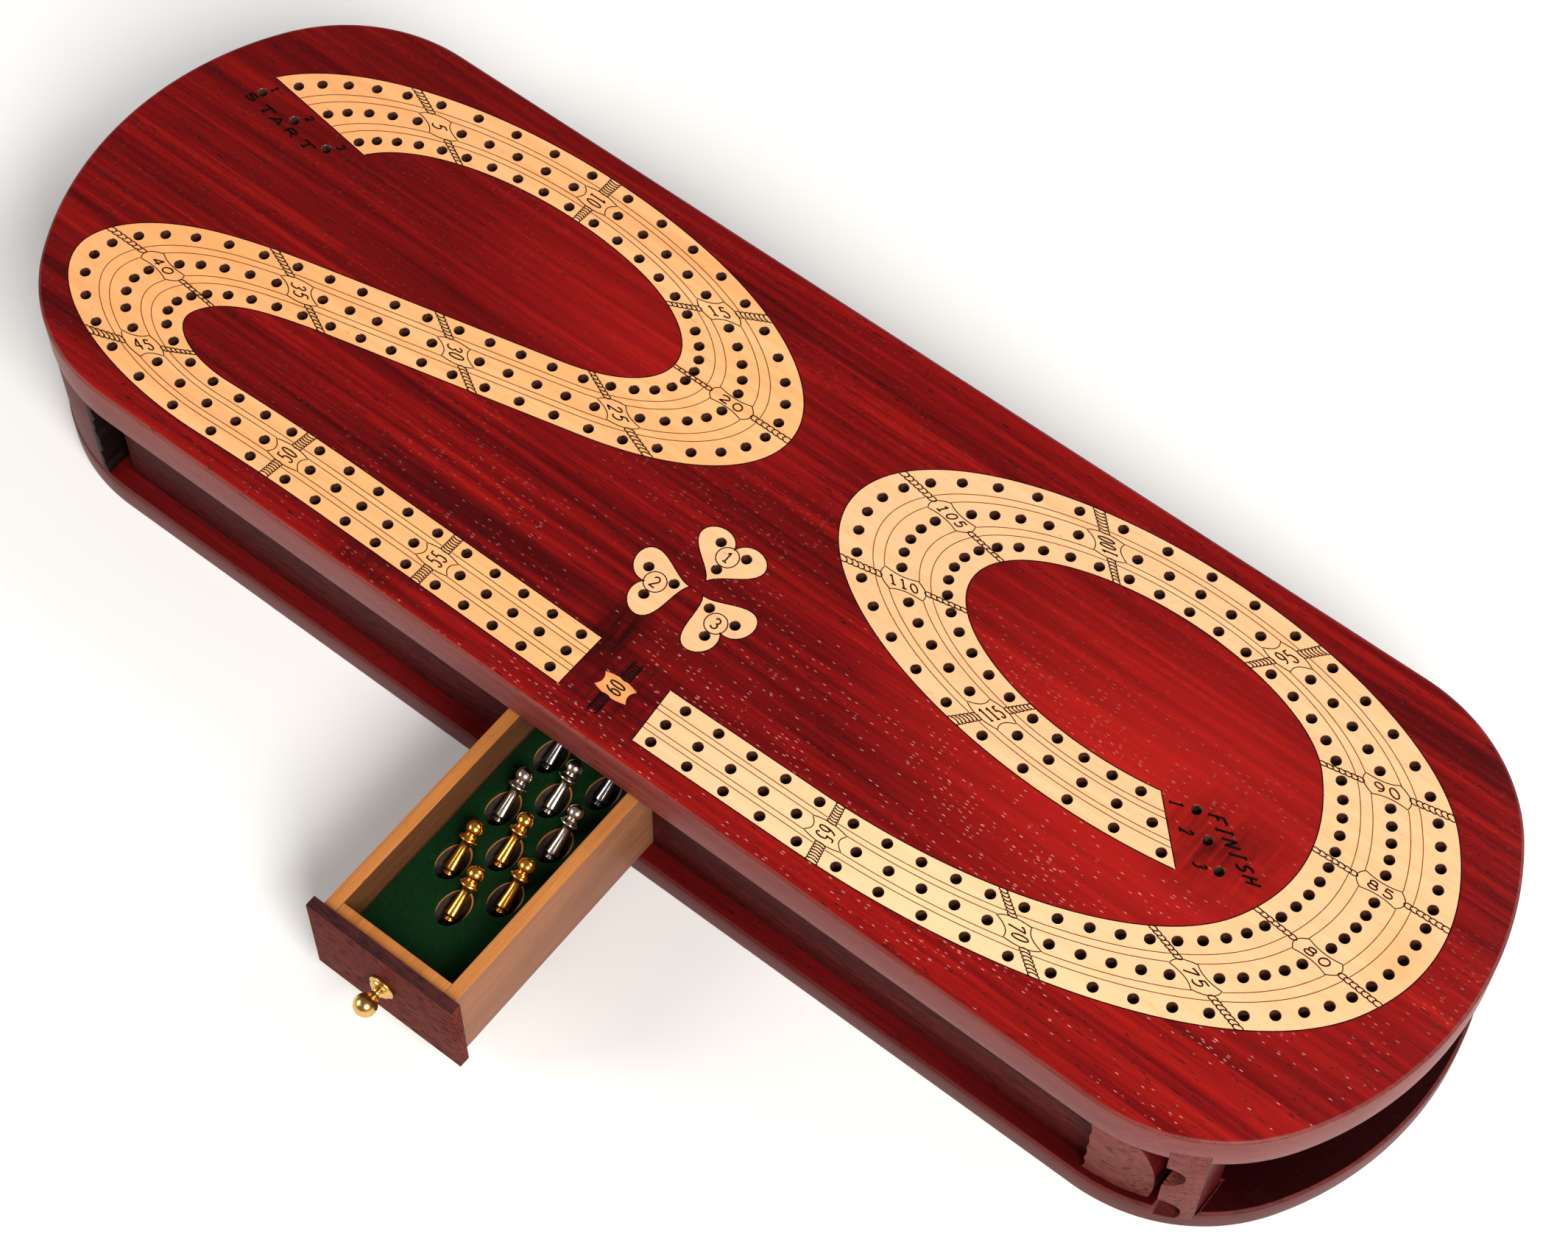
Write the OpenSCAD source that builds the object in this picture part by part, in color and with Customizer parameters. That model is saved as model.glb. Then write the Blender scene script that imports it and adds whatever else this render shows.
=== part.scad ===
// Two-plate wooden cribbage board: an inlaid playing face over a hollow body that holds
// a peg drawer in its long side, a pull-out card tray at one end and an open card pocket
// at the other. X runs along the board, Y across it, Z up from the underside.

/* [Board] */
// Overall length of the board
board_length = 457.2; // [440:0.1:475]
// Overall width of the board
board_width = 152.4; // [146:0.1:158]
// Radius of the large arc at each end
end_radius = 95.7; // [93:0.1:98]
// Radius of the arcs that turn the ends into the sides
corner_radius = 54.6; // [52:0.1:57]
// Thickness of the playing plate
top_thickness = 14; // [13:0.1:16]
// Thickness of the bottom plate
base_thickness = 9; // [8:0.1:11]
// Height of the space between the plates
gap_height = 34.6; // [34:0.1:36]

/* [Rails] */
// Distance of the rail faces from the board's centre line
rail_face = 70.2; // [69:0.1:71]
// Thickness of the long rails
rail_thickness = 12; // [10:0.1:12]
// End of the front rail on the tray side
rail_left_end = 170; // [168:0.1:176]
// End of the rails on the pocket side
rail_right_end = 168.4; // [166:0.1:170]
// Inner face of the walls that close the two end chambers
chamber_wall = 120; // [110:1:124]

/* [Peg holes] */
// Radius of a peg hole
hole_radius = 1.45; // [1.3:0.05:1.6]
// Depth of a peg hole below the playing face
hole_depth = 9.3; // [8:0.1:10]
// Thickness of the maple inlays
inlay_thickness = 1.6; // [1.2:0.1:2]

/* [Track] */
// How much the figures are stretched along the board
stretch = 2.275; // [2.25:0.005:2.3]
// Distance between neighbouring lanes of holes
lane_pitch = 6.36; // [6.2:0.01:6.5]
// Half width of the inlaid band
band_half = 8.95; // [8.7:0.01:9.1]

/* [Drawer] */
// Outer width of the drawer box
box_width = 45; // [43:0.5:45.4]
// Length of the drawer box
box_length = 115; // [112:1:116]
// How far the drawer stands open
drawer_open = 79; // [78:0.1:79.1]
// Thickness of the drawer's sides
box_wall = 4; // [3.5:0.1:4.2]
// Width of the overlay drawer front
front_width = 49.6; // [48:0.1:52]

/* [Pegs] */
// Radius of a peg's ball head
ball_radius = 2.45; // [2.2:0.05:2.5]
// Radius of a peg's collar
collar_radius = 2.85; // [2.6:0.05:2.9]
// Tilt of a stored peg
peg_tilt = 35; // [34:1:36]

/* [Hidden] */
$fn = 96;
pegs_per_colour = 4;

total_height = base_thickness + gap_height + top_thickness;
plate_z = base_thickness + gap_height;
half_length = board_length / 2;
half_width = board_width / 2;
end_centre = half_length - end_radius;
corner_y = half_width - corner_radius;
corner_x = end_centre + sqrt(pow(end_radius - corner_radius, 2) - pow(corner_y, 2));
rail_inner = rail_face - rail_thickness;

// Playing track. A path is a list of [radius, sweep]: a positive radius turns left, a
// negative one right, and radius 0 is a straight of the given length. Both paths start
// beside the middle of the front edge and are laid out before the stretch along X.
// Each figure has the lengths of its first eleven groups of holes, the gap that the
// middle lane leaves at a divider, the lean of its ends and dividers (distance along the
// path per distance to the left), and the extra lean that ends a group before a divider.
two_start = [-4.45, -58.7, 179.7];
two_path = [[0, 35.9], [163.8, 7.47], [-18.31, 104.33], [-28.79, 44.77], [-64.43, 9.77], [0, 37.9],
            [29.7, 131], [37.5, 93.4]];
two_groups = [22, 23.6, 25.3, 25.7, 24.1, 23.9, 24.5, 24.9, 24.6, 24.6, 24.7];
two_gap = 7.2;
two_lean = [0, 0, 0.1, 0.12, -0.18, -0.24, -0.15, -0.1, 0, -0.05, 0, -0.1, 0];
two_fan = [0, 0, 0.1, -0.1, 0, 0, 0, 0, 0, 0, 0, 0];
nine_start = [6.5, -59.8, 2.2];
nine_path = [[0, 21.8], [58, 74.2], [92, 33.5], [33, 273.5]];
group_count = 12;
nine_groups = [25.1, for (k = [2 : group_count - 1]) 25.8];
nine_gap = 8.3;
nine_lean = [0.1, for (k = [1 : group_count - 1]) 0, -0.2];
nine_fan = [for (k = [1 : group_count]) 0];
end_margin = 2.15;
rows_per_group = 5;
band_step = 3.2;

start_holes = [-189.6, 28.0, 14.1, -1.95];
finish_holes = [149.8, 0.6, 7.35, -5.5];
heart_centre = [0.4, -21.7];
heart_turn = 120;
heart_half_width = 10.8;
heart_scale = 0.569;
heart_middle = 12;
sixty_centre = [2.4, -59.3];

drawer_face = -rail_face - drawer_open;
box_half = box_width / 2;
box_floor = base_thickness + 0.4;
box_top = total_height - 16.9;
box_back_y = drawer_face + box_length;
front_thickness = 3.4;
felt_thickness = 0.8;
felt_top = total_height - 29.3;
bottom_thickness = 3;
block_gap = 0.2;
bay_half = box_half + 0.6;
guide_thickness = 6;
stop_y = box_back_y + drawer_open + 0.6;

nest_radius = 3.85;
nest_tilt = 40;
nest_reach = 12.4;
felt_margin = 0.35;
nest_column = 9;
nest_row = 20.25;
nest_first_y = -123.9;
peg_rest_gap = 0.12;

cover_inset = 0.4;
cover_wall = 9;
cover_edge = 175.5;
tray_clear = 0.3;
tray_inner = 52;
fence_thickness = 5;
fence_top = 33;

screw_x = [-150, -60, 60, 150];
screw_y = rail_face - rail_thickness / 2;
screw_radius = 1.7;
screw_head = 3.6;
screw_length = 22;

// Distance along one path piece
function piece_length(s) = s[0] == 0 ? s[1] : abs(s[0]) * s[1] * PI / 180;
// Pose [x, y, heading] reached after distance d on piece s from pose p
function along(p, s, d) = s[0] == 0
    ? [p[0] + d * cos(p[2]), p[1] + d * sin(p[2]), p[2]]
    : let (a = p[2] + d / s[0] * 180 / PI)
      [p[0] + s[0] * (sin(a) - sin(p[2])), p[1] - s[0] * (cos(a) - cos(p[2])), a];
function pose(path, p, t, i = 0) =
    let (l = piece_length(path[i]))
    t <= l || i == len(path) - 1 ? along(p, path[i], t)
    : pose(path, along(p, path[i], l), t - l, i + 1);
function path_total(path, i = 0) =
    i == len(path) ? 0 : piece_length(path[i]) + path_total(path, i + 1);
// Board position at distance t along the path and offset b to its left
function spot(path, start, t, b) =
    let (q = pose(path, start, t))
    [stretch * (q[0] - b * sin(q[2])), q[1] + b * cos(q[2])];

// Distance at which group k starts
function bound(groups, total, k) =
    k == 0 ? 0 : k == group_count ? total : bound(groups, total, k - 1) + groups[k - 1];
// Length of the lane at offset b for each millimetre of path piece s
function lane_share(s, b) = s[0] == 0 ? 1 : 1 - b / s[0];
// Length along the lane at offset b up to path distance t, and back again from that length
function lane_run(path, t, b, i = 0) =
    let (l = piece_length(path[i]), share = lane_share(path[i], b))
    t <= l || i == len(path) - 1 ? t * share : l * share + lane_run(path, t - l, b, i + 1);
function lane_place(path, run, b, i = 0) =
    let (l = piece_length(path[i]), share = lane_share(path[i], b))
    run <= l * share || i == len(path) - 1 ? run / share
    : l + lane_place(path, run - l * share, b, i + 1);
// The outer lanes have their holes evenly spaced along the lane
function outer_station(path, side, a, b, i) =
    let (from = lane_run(path, a, side), to = lane_run(path, b, side))
    lane_place(path, from + (to - from) * (i + 0.5) / rows_per_group, side);
function middle_station(a, b, i, gap, k) =
    let (lo = a + (k == 0 ? end_margin : gap / 2),
         hi = b - (k == group_count - 1 ? end_margin : gap / 2))
    lo + (hi - lo) * i / (rows_per_group - 1);
function track_holes(path, start, groups, gap, lean, fan) =
    let (total = path_total(path))
    [for (k = [0 : group_count - 1], i = [0 : rows_per_group - 1], lane = [-1 : 1])
        let (side = lane * lane_pitch, a = bound(groups, total, k),
             b = bound(groups, total, k + 1),
             t = lane == 0 ? middle_station(a, b, i, gap, k)
                 : outer_station(path, side, a + lean[k] * side,
                                 b + (lean[k + 1] + fan[k]) * side, i))
        spot(path, start, t, side)];
two_holes = track_holes(two_path, two_start, two_groups, two_gap, two_lean, two_fan);
nine_holes = track_holes(nine_path, nine_start, nine_groups, nine_gap, nine_lean, nine_fan);
// Outline of the band: one side out, the other side back
function band_outline(path, start) =
    let (total = path_total(path), n = ceil(total / band_step))
    concat([for (i = [0 : n]) spot(path, start, total * i / n, band_half)],
           [for (i = [n : -1 : 0]) spot(path, start, total * i / n, -band_half)]);

module holes_2d(points) {
    for (p = points) translate([p[0], p[1]]) circle(r = hole_radius, $fn = 24);
}

function row_of_three(row) =
    [for (i = [-1 : 1]) [row[0] + i * row[2], row[1] + i * row[3]]];
// Point at p from the middle of the clover, turned to heart n
function heart_spot(n, p) =
    let (t = n * heart_turn)
    heart_centre + [p[0] * cos(t) - p[1] * sin(t), p[0] * sin(t) + p[1] * cos(t)];
// Three holes about a heart's middle, not turned with it
function heart_holes(n) =
    let (c = heart_spot(n, [0, heart_middle]))
    [c + [-4.35, 2.7], c + [4.35, 2.7], c + [0, -4.75]];
function heart_outline(n) =
    [for (a = [0 : 6 : 359])
        heart_spot(n, [heart_half_width * pow(sin(a), 3), heart_middle + heart_scale
            * (13 * cos(a) - 5 * cos(2 * a) - 2 * cos(3 * a) - cos(4 * a))])];

// Shield with bulged top and bottom and hollow ends
shield_half = [5.3, 2.3];
function shield_outline() =
    let (w = shield_half[0], h = shield_half[1], bulge = 0.9, hollow = 1.1)
    concat(
        [for (u = [-1 : 0.25 : 1]) [w * u, h + bulge * (1 - u * u)]],
        [for (v = [0.75 : -0.25 : -0.75]) [w - hollow * (1 - v * v), h * v]],
        [for (u = [1 : -0.25 : -1]) [w * u, -h - bulge * (1 - u * u)]],
        [for (v = [-0.75 : 0.25 : 0.75]) [-w + hollow * (1 - v * v), h * v]]);

module plate_outline(inset = 0) {
    far = 2 * end_radius;
    tilt = atan2(corner_y, corner_x - end_centre);
    square([2 * corner_x, board_width - 2 * inset], center = true);
    for (side = [-1, 1]) {
        for (up = [-1, 1]) translate([side * corner_x, up * corner_y])
            circle(r = corner_radius - inset, $fn = 192);
        intersection() {
            translate([side * end_centre, 0]) circle(r = end_radius - inset, $fn = 288);
            polygon([[side * end_centre, 0],
                [side * (end_centre + far * cos(tilt)), far * sin(tilt)],
                [side * (end_centre + far * cos(tilt)), -far * sin(tilt)]]);
        }
    }
}

// Inlays and the playing plate
module track_band(path, start, holes) {
    translate([0, 0, total_height - inlay_thickness]) linear_extrude(inlay_thickness)
        difference() {
            polygon(band_outline(path, start));
            holes_2d(holes);
        }
}
module heart_inlay(n) {
    translate([0, 0, total_height - inlay_thickness]) linear_extrude(inlay_thickness)
        difference() {
            polygon(heart_outline(n));
            holes_2d(heart_holes(n));
        }
}
module track_inlay_two() color([0.95, 0.80, 0.58]) track_band(two_path, two_start, two_holes);
module track_inlay_nine() color([0.95, 0.80, 0.58]) track_band(nine_path, nine_start, nine_holes);
module heart_inlay_one() color([0.95, 0.80, 0.58]) heart_inlay(0);
module heart_inlay_two() color([0.95, 0.80, 0.58]) heart_inlay(1);
module heart_inlay_three() color([0.95, 0.80, 0.58]) heart_inlay(2);
module sixty_inlay() color([0.90, 0.62, 0.36])
    translate([sixty_centre[0], sixty_centre[1], total_height - inlay_thickness])
        linear_extrude(inlay_thickness) polygon(shield_outline());

module inlay_pockets_2d() {
    polygon(band_outline(two_path, two_start));
    polygon(band_outline(nine_path, nine_start));
    for (n = [0 : 2]) polygon(heart_outline(n));
    translate(sixty_centre) polygon(shield_outline());
}
module top_plate() color([0.55, 0.07, 0.06]) {
    solid = top_thickness - hole_depth;
    free = concat(row_of_three(start_holes), row_of_three(finish_holes));
    inlaid = concat(two_holes, nine_holes, [for (n = [0 : 2], p = heart_holes(n)) p]);
    translate([0, 0, plate_z]) linear_extrude(solid) difference() {
        plate_outline();
        catch_2d(0.1);
    }
    translate([0, 0, plate_z + solid]) linear_extrude(hole_depth - inlay_thickness)
        difference() {
            plate_outline();
            holes_2d(concat(free, inlaid));
        }
    translate([0, 0, total_height - inlay_thickness]) linear_extrude(inlay_thickness)
        difference() {
            plate_outline();
            inlay_pockets_2d();
            holes_2d(free);
        }
}

// Bottom plate and its countersunk screws
module at_screws() {
    for (x = screw_x, side = [-1, 1]) translate([x, side * screw_y, 0]) children();
}
module screw_solid(grow) {
    cylinder(r = screw_radius + grow, h = screw_length + grow);
    cylinder(r1 = screw_head + grow, r2 = screw_radius + grow, h = screw_head - screw_radius);
}
module base_plate() color([0.45, 0.07, 0.07]) difference() {
    union() {
        linear_extrude(base_thickness - catch_foot) plate_outline();
        translate([0, 0, base_thickness - catch_foot]) linear_extrude(catch_foot) difference() {
            plate_outline();
            catch_2d(0.1);
        }
    }
    at_screws() translate([0, 0, -0.01]) screw_solid(0.06);
}
module base_screws() color([0.75, 0.60, 0.30]) at_screws() difference() {
    translate([0, 0, 0.05]) screw_solid(0);
    translate([-3, -0.4, -0.5]) cube([6, 0.8, 1.3]);
}

// Rails and inner walls
module long_rail(x0, x1, side) {
    difference() {
        translate([x0, side > 0 ? rail_inner : -rail_face, base_thickness])
            cube([x1 - x0, rail_thickness, gap_height]);
        for (x = screw_x) if (x > x0 && x < x1) translate([x, side * screw_y, 0])
            cylinder(r = screw_radius + 0.06, h = screw_length + 0.3);
    }
}
module front_rail_left() color([0.33, 0.06, 0.07]) long_rail(-rail_left_end, -bay_half, -1);
module front_rail_right() color([0.33, 0.06, 0.07]) long_rail(bay_half, rail_right_end, -1);
module back_rail() color([0.33, 0.06, 0.07]) long_rail(-rail_left_end, rail_right_end, 1);
module inner_wall(x, y, size_x, size_y)
    translate([x, y, base_thickness]) cube([size_x, size_y, gap_height]);
module chamber_wall_left() color([0.36, 0.08, 0.08])
    inner_wall(-chamber_wall - 8, -rail_inner, 8, 2 * rail_inner);
module chamber_wall_right() color([0.36, 0.08, 0.08])
    inner_wall(chamber_wall, -rail_inner, 8, 2 * rail_inner);
module drawer_guide_left() color([0.55, 0.40, 0.28])
    inner_wall(-bay_half - guide_thickness, -rail_inner, guide_thickness, stop_y + rail_inner);
module drawer_guide_right() color([0.55, 0.40, 0.28])
    inner_wall(bay_half, -rail_inner, guide_thickness, stop_y + rail_inner);
module drawer_stop() color([0.55, 0.40, 0.28])
    inner_wall(-bay_half - guide_thickness, stop_y, 2 * (bay_half + guide_thickness), 6);

// Posts that carry the plates at the open end
catch_right = 199;
catch_width = 9;
catch_depth = 9;
catch_head = top_thickness - hole_depth;
catch_foot = 3.7;
module catch_2d(grow) intersection() {
    translate([catch_right - catch_width - grow, -half_width])
        square([catch_width + 2 * grow, board_width]);
    difference() {
        plate_outline(0);
        plate_outline(catch_depth + grow);
    }
}
post_inset = 2.6;
post_depth = 12;
leaf_right = 19.1;
leaf_low = 8;
leaf_rise = 30;
scallop = 0.7;
module upright(side) {
    intersection() {
        translate([0, side > 0 ? 40 : -40, 0]) rotate([90, 0, 0])
            linear_extrude(80, center = true) children();
        translate([0, 0, base_thickness]) linear_extrude(gap_height) difference() {
            plate_outline(post_inset);
            plate_outline(post_inset + post_depth);
        }
    }
}
module leaf_2d() {
    top = gap_height - leaf_low;
    low = -asin(leaf_low / leaf_rise);
    high = asin(top / leaf_rise);
    polygon(concat(
        [for (i = [0 : 16]) let (z = plate_z - gap_height * i / 16)
            [rail_right_end + scallop * abs(sin(i * 56)), z]],
        [for (i = [0 : 20]) let (a = low + (high - low) * i / 20)
            [rail_right_end + leaf_right * cos(a),
             base_thickness + leaf_low + leaf_rise * sin(a)]]));
}
module leaf_post_front() color([0.50, 0.22, 0.22]) upright(-1) leaf_2d();
module leaf_post_back() color([0.50, 0.22, 0.22]) upright(1) leaf_2d();
// Catch posts, let into both plates, with two scooped hollows on the leaf's side
module catch_post(side) difference() {
    translate([0, 0, base_thickness - catch_foot])
        linear_extrude(catch_foot + gap_height + catch_head) intersection() {
            catch_2d(0);
            translate([0, side * half_width]) square([board_length, board_width], center = true);
        }
    for (scoop = [[plate_z - 12, 6], [base_thickness, 7]])
        translate([catch_right - catch_width - 1, 0, scoop[0]]) rotate([90, 0, 0])
            cylinder(r = scoop[1], h = board_width, center = true);
}
module catch_post_front() color([0.50, 0.22, 0.22]) catch_post(-1);
module catch_post_back() color([0.50, 0.22, 0.22]) catch_post(1);

// Pull-out card tray with its curved end cover
wave_depth = 1.1;
cover_z = base_thickness + tray_clear;
cover_height = gap_height - 2 * tray_clear;
module cover_side_2d() {
    polygon(concat([[-half_length - 5, plate_z], [-half_length - 5, base_thickness]],
        [for (i = [0 : 24])
            [-cover_edge + wave_depth * sin(i * 67) * sin(i * 30 + 40),
             base_thickness + gap_height * i / 24]]));
}
module tray_end_cover() color([0.50, 0.24, 0.23]) intersection() {
    translate([0, 0, cover_z]) linear_extrude(cover_height) difference() {
        plate_outline(cover_inset);
        plate_outline(cover_inset + cover_wall);
    }
    rotate([90, 0, 0]) linear_extrude(2 * board_width, center = true) cover_side_2d();
}
tray_back_x = -chamber_wall - 8 - 1;
module tray_floor() color([0.62, 0.42, 0.26])
    translate([0, 0, cover_z]) linear_extrude(4) intersection() {
        plate_outline(cover_inset + cover_wall);
        translate([-half_length, -tray_inner])
            square([half_length + tray_back_x, 2 * tray_inner]);
    }
module tray_fence(side) {
    x0 = -end_centre - 52;
    translate([x0, side > 0 ? tray_inner - fence_thickness : -tray_inner, cover_z + 4])
        cube([tray_back_x - x0, fence_thickness, fence_top - cover_z - 4]);
}
module tray_fence_front() color([0.62, 0.42, 0.26]) tray_fence(-1);
module tray_fence_back() color([0.62, 0.42, 0.26]) tray_fence(1);

// Drawer
knob_z = total_height - 30.5;
knob_hole = 1.6;
screw_cap = 2.6;
screw_cap_thickness = 1.4;
module knob_bore() translate([0, drawer_face - 20, knob_z]) rotate([-90, 0, 0])
    cylinder(r = knob_hole, h = 40);
module box_part(x, y, z, size) translate([x, y, z]) cube(size);
module drawer_front() color([0.32, 0.10, 0.12]) difference() {
    box_part(-front_width / 2, drawer_face - front_thickness, base_thickness + 0.4,
        [front_width, front_thickness, gap_height - 0.8]);
    knob_bore();
}
box_height = box_top - box_floor;
inner_width = box_width - 2 * box_wall;
module drawer_inner_front() color([0.72, 0.45, 0.24]) difference() {
    box_part(-box_half + box_wall, drawer_face, box_floor, [inner_width, box_wall, box_height]);
    knob_bore();
    translate([0, drawer_face + box_wall - screw_cap_thickness - 0.1, knob_z]) rotate([-90, 0, 0])
        cylinder(r = screw_cap + 0.1, h = box_wall);
}
module drawer_side_left() color([0.72, 0.45, 0.24])
    box_part(-box_half, drawer_face, box_floor, [box_wall, box_length, box_height]);
module drawer_side_right() color([0.72, 0.45, 0.24])
    box_part(box_half - box_wall, drawer_face, box_floor, [box_wall, box_length, box_height]);
module drawer_back() color([0.72, 0.45, 0.24])
    box_part(-box_half + box_wall, box_back_y - box_wall, box_floor,
        [inner_width, box_wall, box_height]);
inner_length = box_length - 2 * box_wall;
module drawer_bottom() color([0.68, 0.47, 0.28])
    box_part(-box_half + box_wall, drawer_face + box_wall, box_floor,
        [inner_width, inner_length, bottom_thickness]);

// Nest centres, nearest the drawer front first: middle, then the two beside it
function nest(i) =
    let (row = floor(i / 3), place = i % 3)
    place == 0 ? [0, nest_first_y + row * nest_row]
    : [place == 1 ? -nest_column : nest_column, nest_first_y + (row + 0.5) * nest_row];
module nest_bores(grow = 0) {
    for (i = [0 : 3 * pegs_per_colour - 1])
        translate([nest(i)[0], nest(i)[1], felt_top]) rotate([nest_tilt - 90, 0, 0])
            translate([0, 0, -nest_reach]) cylinder(r = nest_radius + grow, h = nest_reach + 8);
}
module block_2d(inset) translate([-inner_width / 2 + inset, drawer_face + box_wall + inset])
    square([inner_width - 2 * inset, inner_length - 2 * inset]);
block_z = box_floor + bottom_thickness;
block_top = felt_top - felt_thickness;
module peg_block() color([0.60, 0.40, 0.24]) difference() {
    translate([0, 0, block_z]) linear_extrude(block_top - block_z) block_2d(block_gap);
    nest_bores();
}
module felt_pad() color([0.02, 0.22, 0.09]) difference() {
    translate([0, 0, block_top]) linear_extrude(felt_thickness) block_2d(block_gap + felt_margin);
    nest_bores(felt_margin);
}

// Turned brass knob: a stepped rose, a waist and a ball
knob_ball = 3.3;
knob_reach = 7.1;
module drawer_knob() color([0.80, 0.62, 0.28])
    translate([0, drawer_face - front_thickness, knob_z]) rotate([90, 0, 0]) difference() {
        rotate_extrude() polygon(concat(
            [[0, 0], [4.05, 0], [4.05, 0.9], [3.3, 1.3], [3.1, 1.9], [2.2, 2.3], [1.5, 3.0],
             [1.5, 3.9], [1.85, 4.1], [1.85, 4.3]],
            [for (a = [-60 : 10 : 90]) [knob_ball * cos(a), knob_reach + knob_ball * sin(a)]]));
        translate([0, 0, -1]) cylinder(r = 1.05, h = 4);
    }
module knob_screw() color([0.75, 0.72, 0.62])
    translate([0, drawer_face + box_wall, knob_z]) rotate([90, 0, 0]) {
        translate([0, 0, 0.8]) cylinder(r = 1, h = box_wall + front_thickness + 1.6);
        difference() {
            cylinder(r = screw_cap, h = screw_cap_thickness);
            translate([-3, -0.35, -0.1]) cube([6, 0.7, 0.8]);
        }
    }

// A peg along +Z with its ball centre at the origin and its shank below
collar_at = -3.35;
peg_profile = concat(
    [for (a = [90 : -15 : -45]) [ball_radius * cos(a), ball_radius * sin(a)]],
    [[1.75, -1.85], [1.8, -2.1], [2.1, -2.5], [2.55, -2.85],
     [collar_radius, collar_at + 0.15], [collar_radius, collar_at - 0.15], [2.5, -3.8], [1.8, -4.15],
     [1.5, -4.6], [1.4, -5.4], [1.45, -7], [1.62, -9], [1.85, -11], [2.02, -12.2], [2.02, -12.7],
     [1.85, -13.1], [1.3, -13.3], [1.3, -13.55], [1.7, -13.75], [1.75, -14.15], [1.6, -14.55],
     [1.2, -14.8], [1.15, -20.3]],
    [for (a = [-30 : -30 : -90]) [1.15 * cos(a), -20.3 + sin(a)]]);
ball_from_nest = 8.65;
ball_above_felt = peg_rest_gap + (0.15 - collar_at) * sin(peg_tilt) + collar_radius * cos(peg_tilt);
module peg(i) {
    c = nest(i);
    translate([c[0], c[1] + ball_from_nest, felt_top + ball_above_felt])
        rotate([peg_tilt - 90, 0, 0]) rotate_extrude($fn = 48) polygon(peg_profile);
}

module gold_peg_1() color([0.90, 0.65, 0.20]) peg(0);
module gold_peg_2() color([0.90, 0.65, 0.20]) peg(1);
module gold_peg_3() color([0.90, 0.65, 0.20]) peg(2);
module gold_peg_4() color([0.90, 0.65, 0.20]) peg(3);
module silver_peg_1() color([0.80, 0.80, 0.82]) peg(4);
module silver_peg_2() color([0.80, 0.80, 0.82]) peg(5);
module silver_peg_3() color([0.80, 0.80, 0.82]) peg(6);
module silver_peg_4() color([0.80, 0.80, 0.82]) peg(9);
module dark_peg_1() color([0.30, 0.29, 0.30]) peg(7);
module dark_peg_2() color([0.30, 0.29, 0.30]) peg(8);
module dark_peg_3() color([0.30, 0.29, 0.30]) peg(10);
module dark_peg_4() color([0.30, 0.29, 0.30]) peg(11);

base_plate();
top_plate();
track_inlay_two();
track_inlay_nine();
heart_inlay_one();
heart_inlay_two();
heart_inlay_three();
sixty_inlay();
front_rail_left();
front_rail_right();
back_rail();
chamber_wall_left();
chamber_wall_right();
drawer_guide_left();
drawer_guide_right();
drawer_stop();
leaf_post_front();
leaf_post_back();
catch_post_front();
catch_post_back();
base_screws();
tray_end_cover();
tray_floor();
tray_fence_front();
tray_fence_back();
drawer_front();
drawer_inner_front();
drawer_side_left();
drawer_side_right();
drawer_back();
drawer_bottom();
peg_block();
felt_pad();
drawer_knob();
knob_screw();
gold_peg_1();
gold_peg_2();
gold_peg_3();
gold_peg_4();
silver_peg_1();
silver_peg_2();
silver_peg_3();
silver_peg_4();
dark_peg_1();
dark_peg_2();
dark_peg_3();
dark_peg_4();
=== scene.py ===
"""Looks of a wooden cribbage board with a peg drawer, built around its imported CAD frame."""
import random
from math import acos, atan2, ceil, cos, hypot, pi, radians, sin, sqrt, tan

import bmesh
import bpy
import numpy as np
from mathutils import Matrix, Vector
from mathutils.geometry import delaunay_2d_cdt


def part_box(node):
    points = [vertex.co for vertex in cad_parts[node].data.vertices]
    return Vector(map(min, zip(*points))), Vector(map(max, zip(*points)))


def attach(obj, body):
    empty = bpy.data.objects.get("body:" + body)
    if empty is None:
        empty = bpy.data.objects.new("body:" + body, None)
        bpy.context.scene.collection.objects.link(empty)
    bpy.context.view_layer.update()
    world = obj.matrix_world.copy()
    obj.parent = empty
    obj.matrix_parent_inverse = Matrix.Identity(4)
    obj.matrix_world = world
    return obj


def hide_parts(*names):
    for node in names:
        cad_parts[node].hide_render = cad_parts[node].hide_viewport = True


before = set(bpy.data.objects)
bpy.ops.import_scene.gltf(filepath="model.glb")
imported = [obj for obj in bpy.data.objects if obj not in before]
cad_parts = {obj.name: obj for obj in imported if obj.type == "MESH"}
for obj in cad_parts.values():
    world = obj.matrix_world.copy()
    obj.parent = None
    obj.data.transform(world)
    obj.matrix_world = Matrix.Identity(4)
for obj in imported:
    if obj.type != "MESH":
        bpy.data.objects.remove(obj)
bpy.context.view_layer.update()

MM = 0.001
top_low, top_high = (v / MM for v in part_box("top_plate"))
base_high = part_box("base_plate")[1] / MM
Z = round(top_high.z, 2)  # height of the playing face
plate_z = round(top_low.z, 2)
base_thickness = round(base_high.z, 2)

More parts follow.
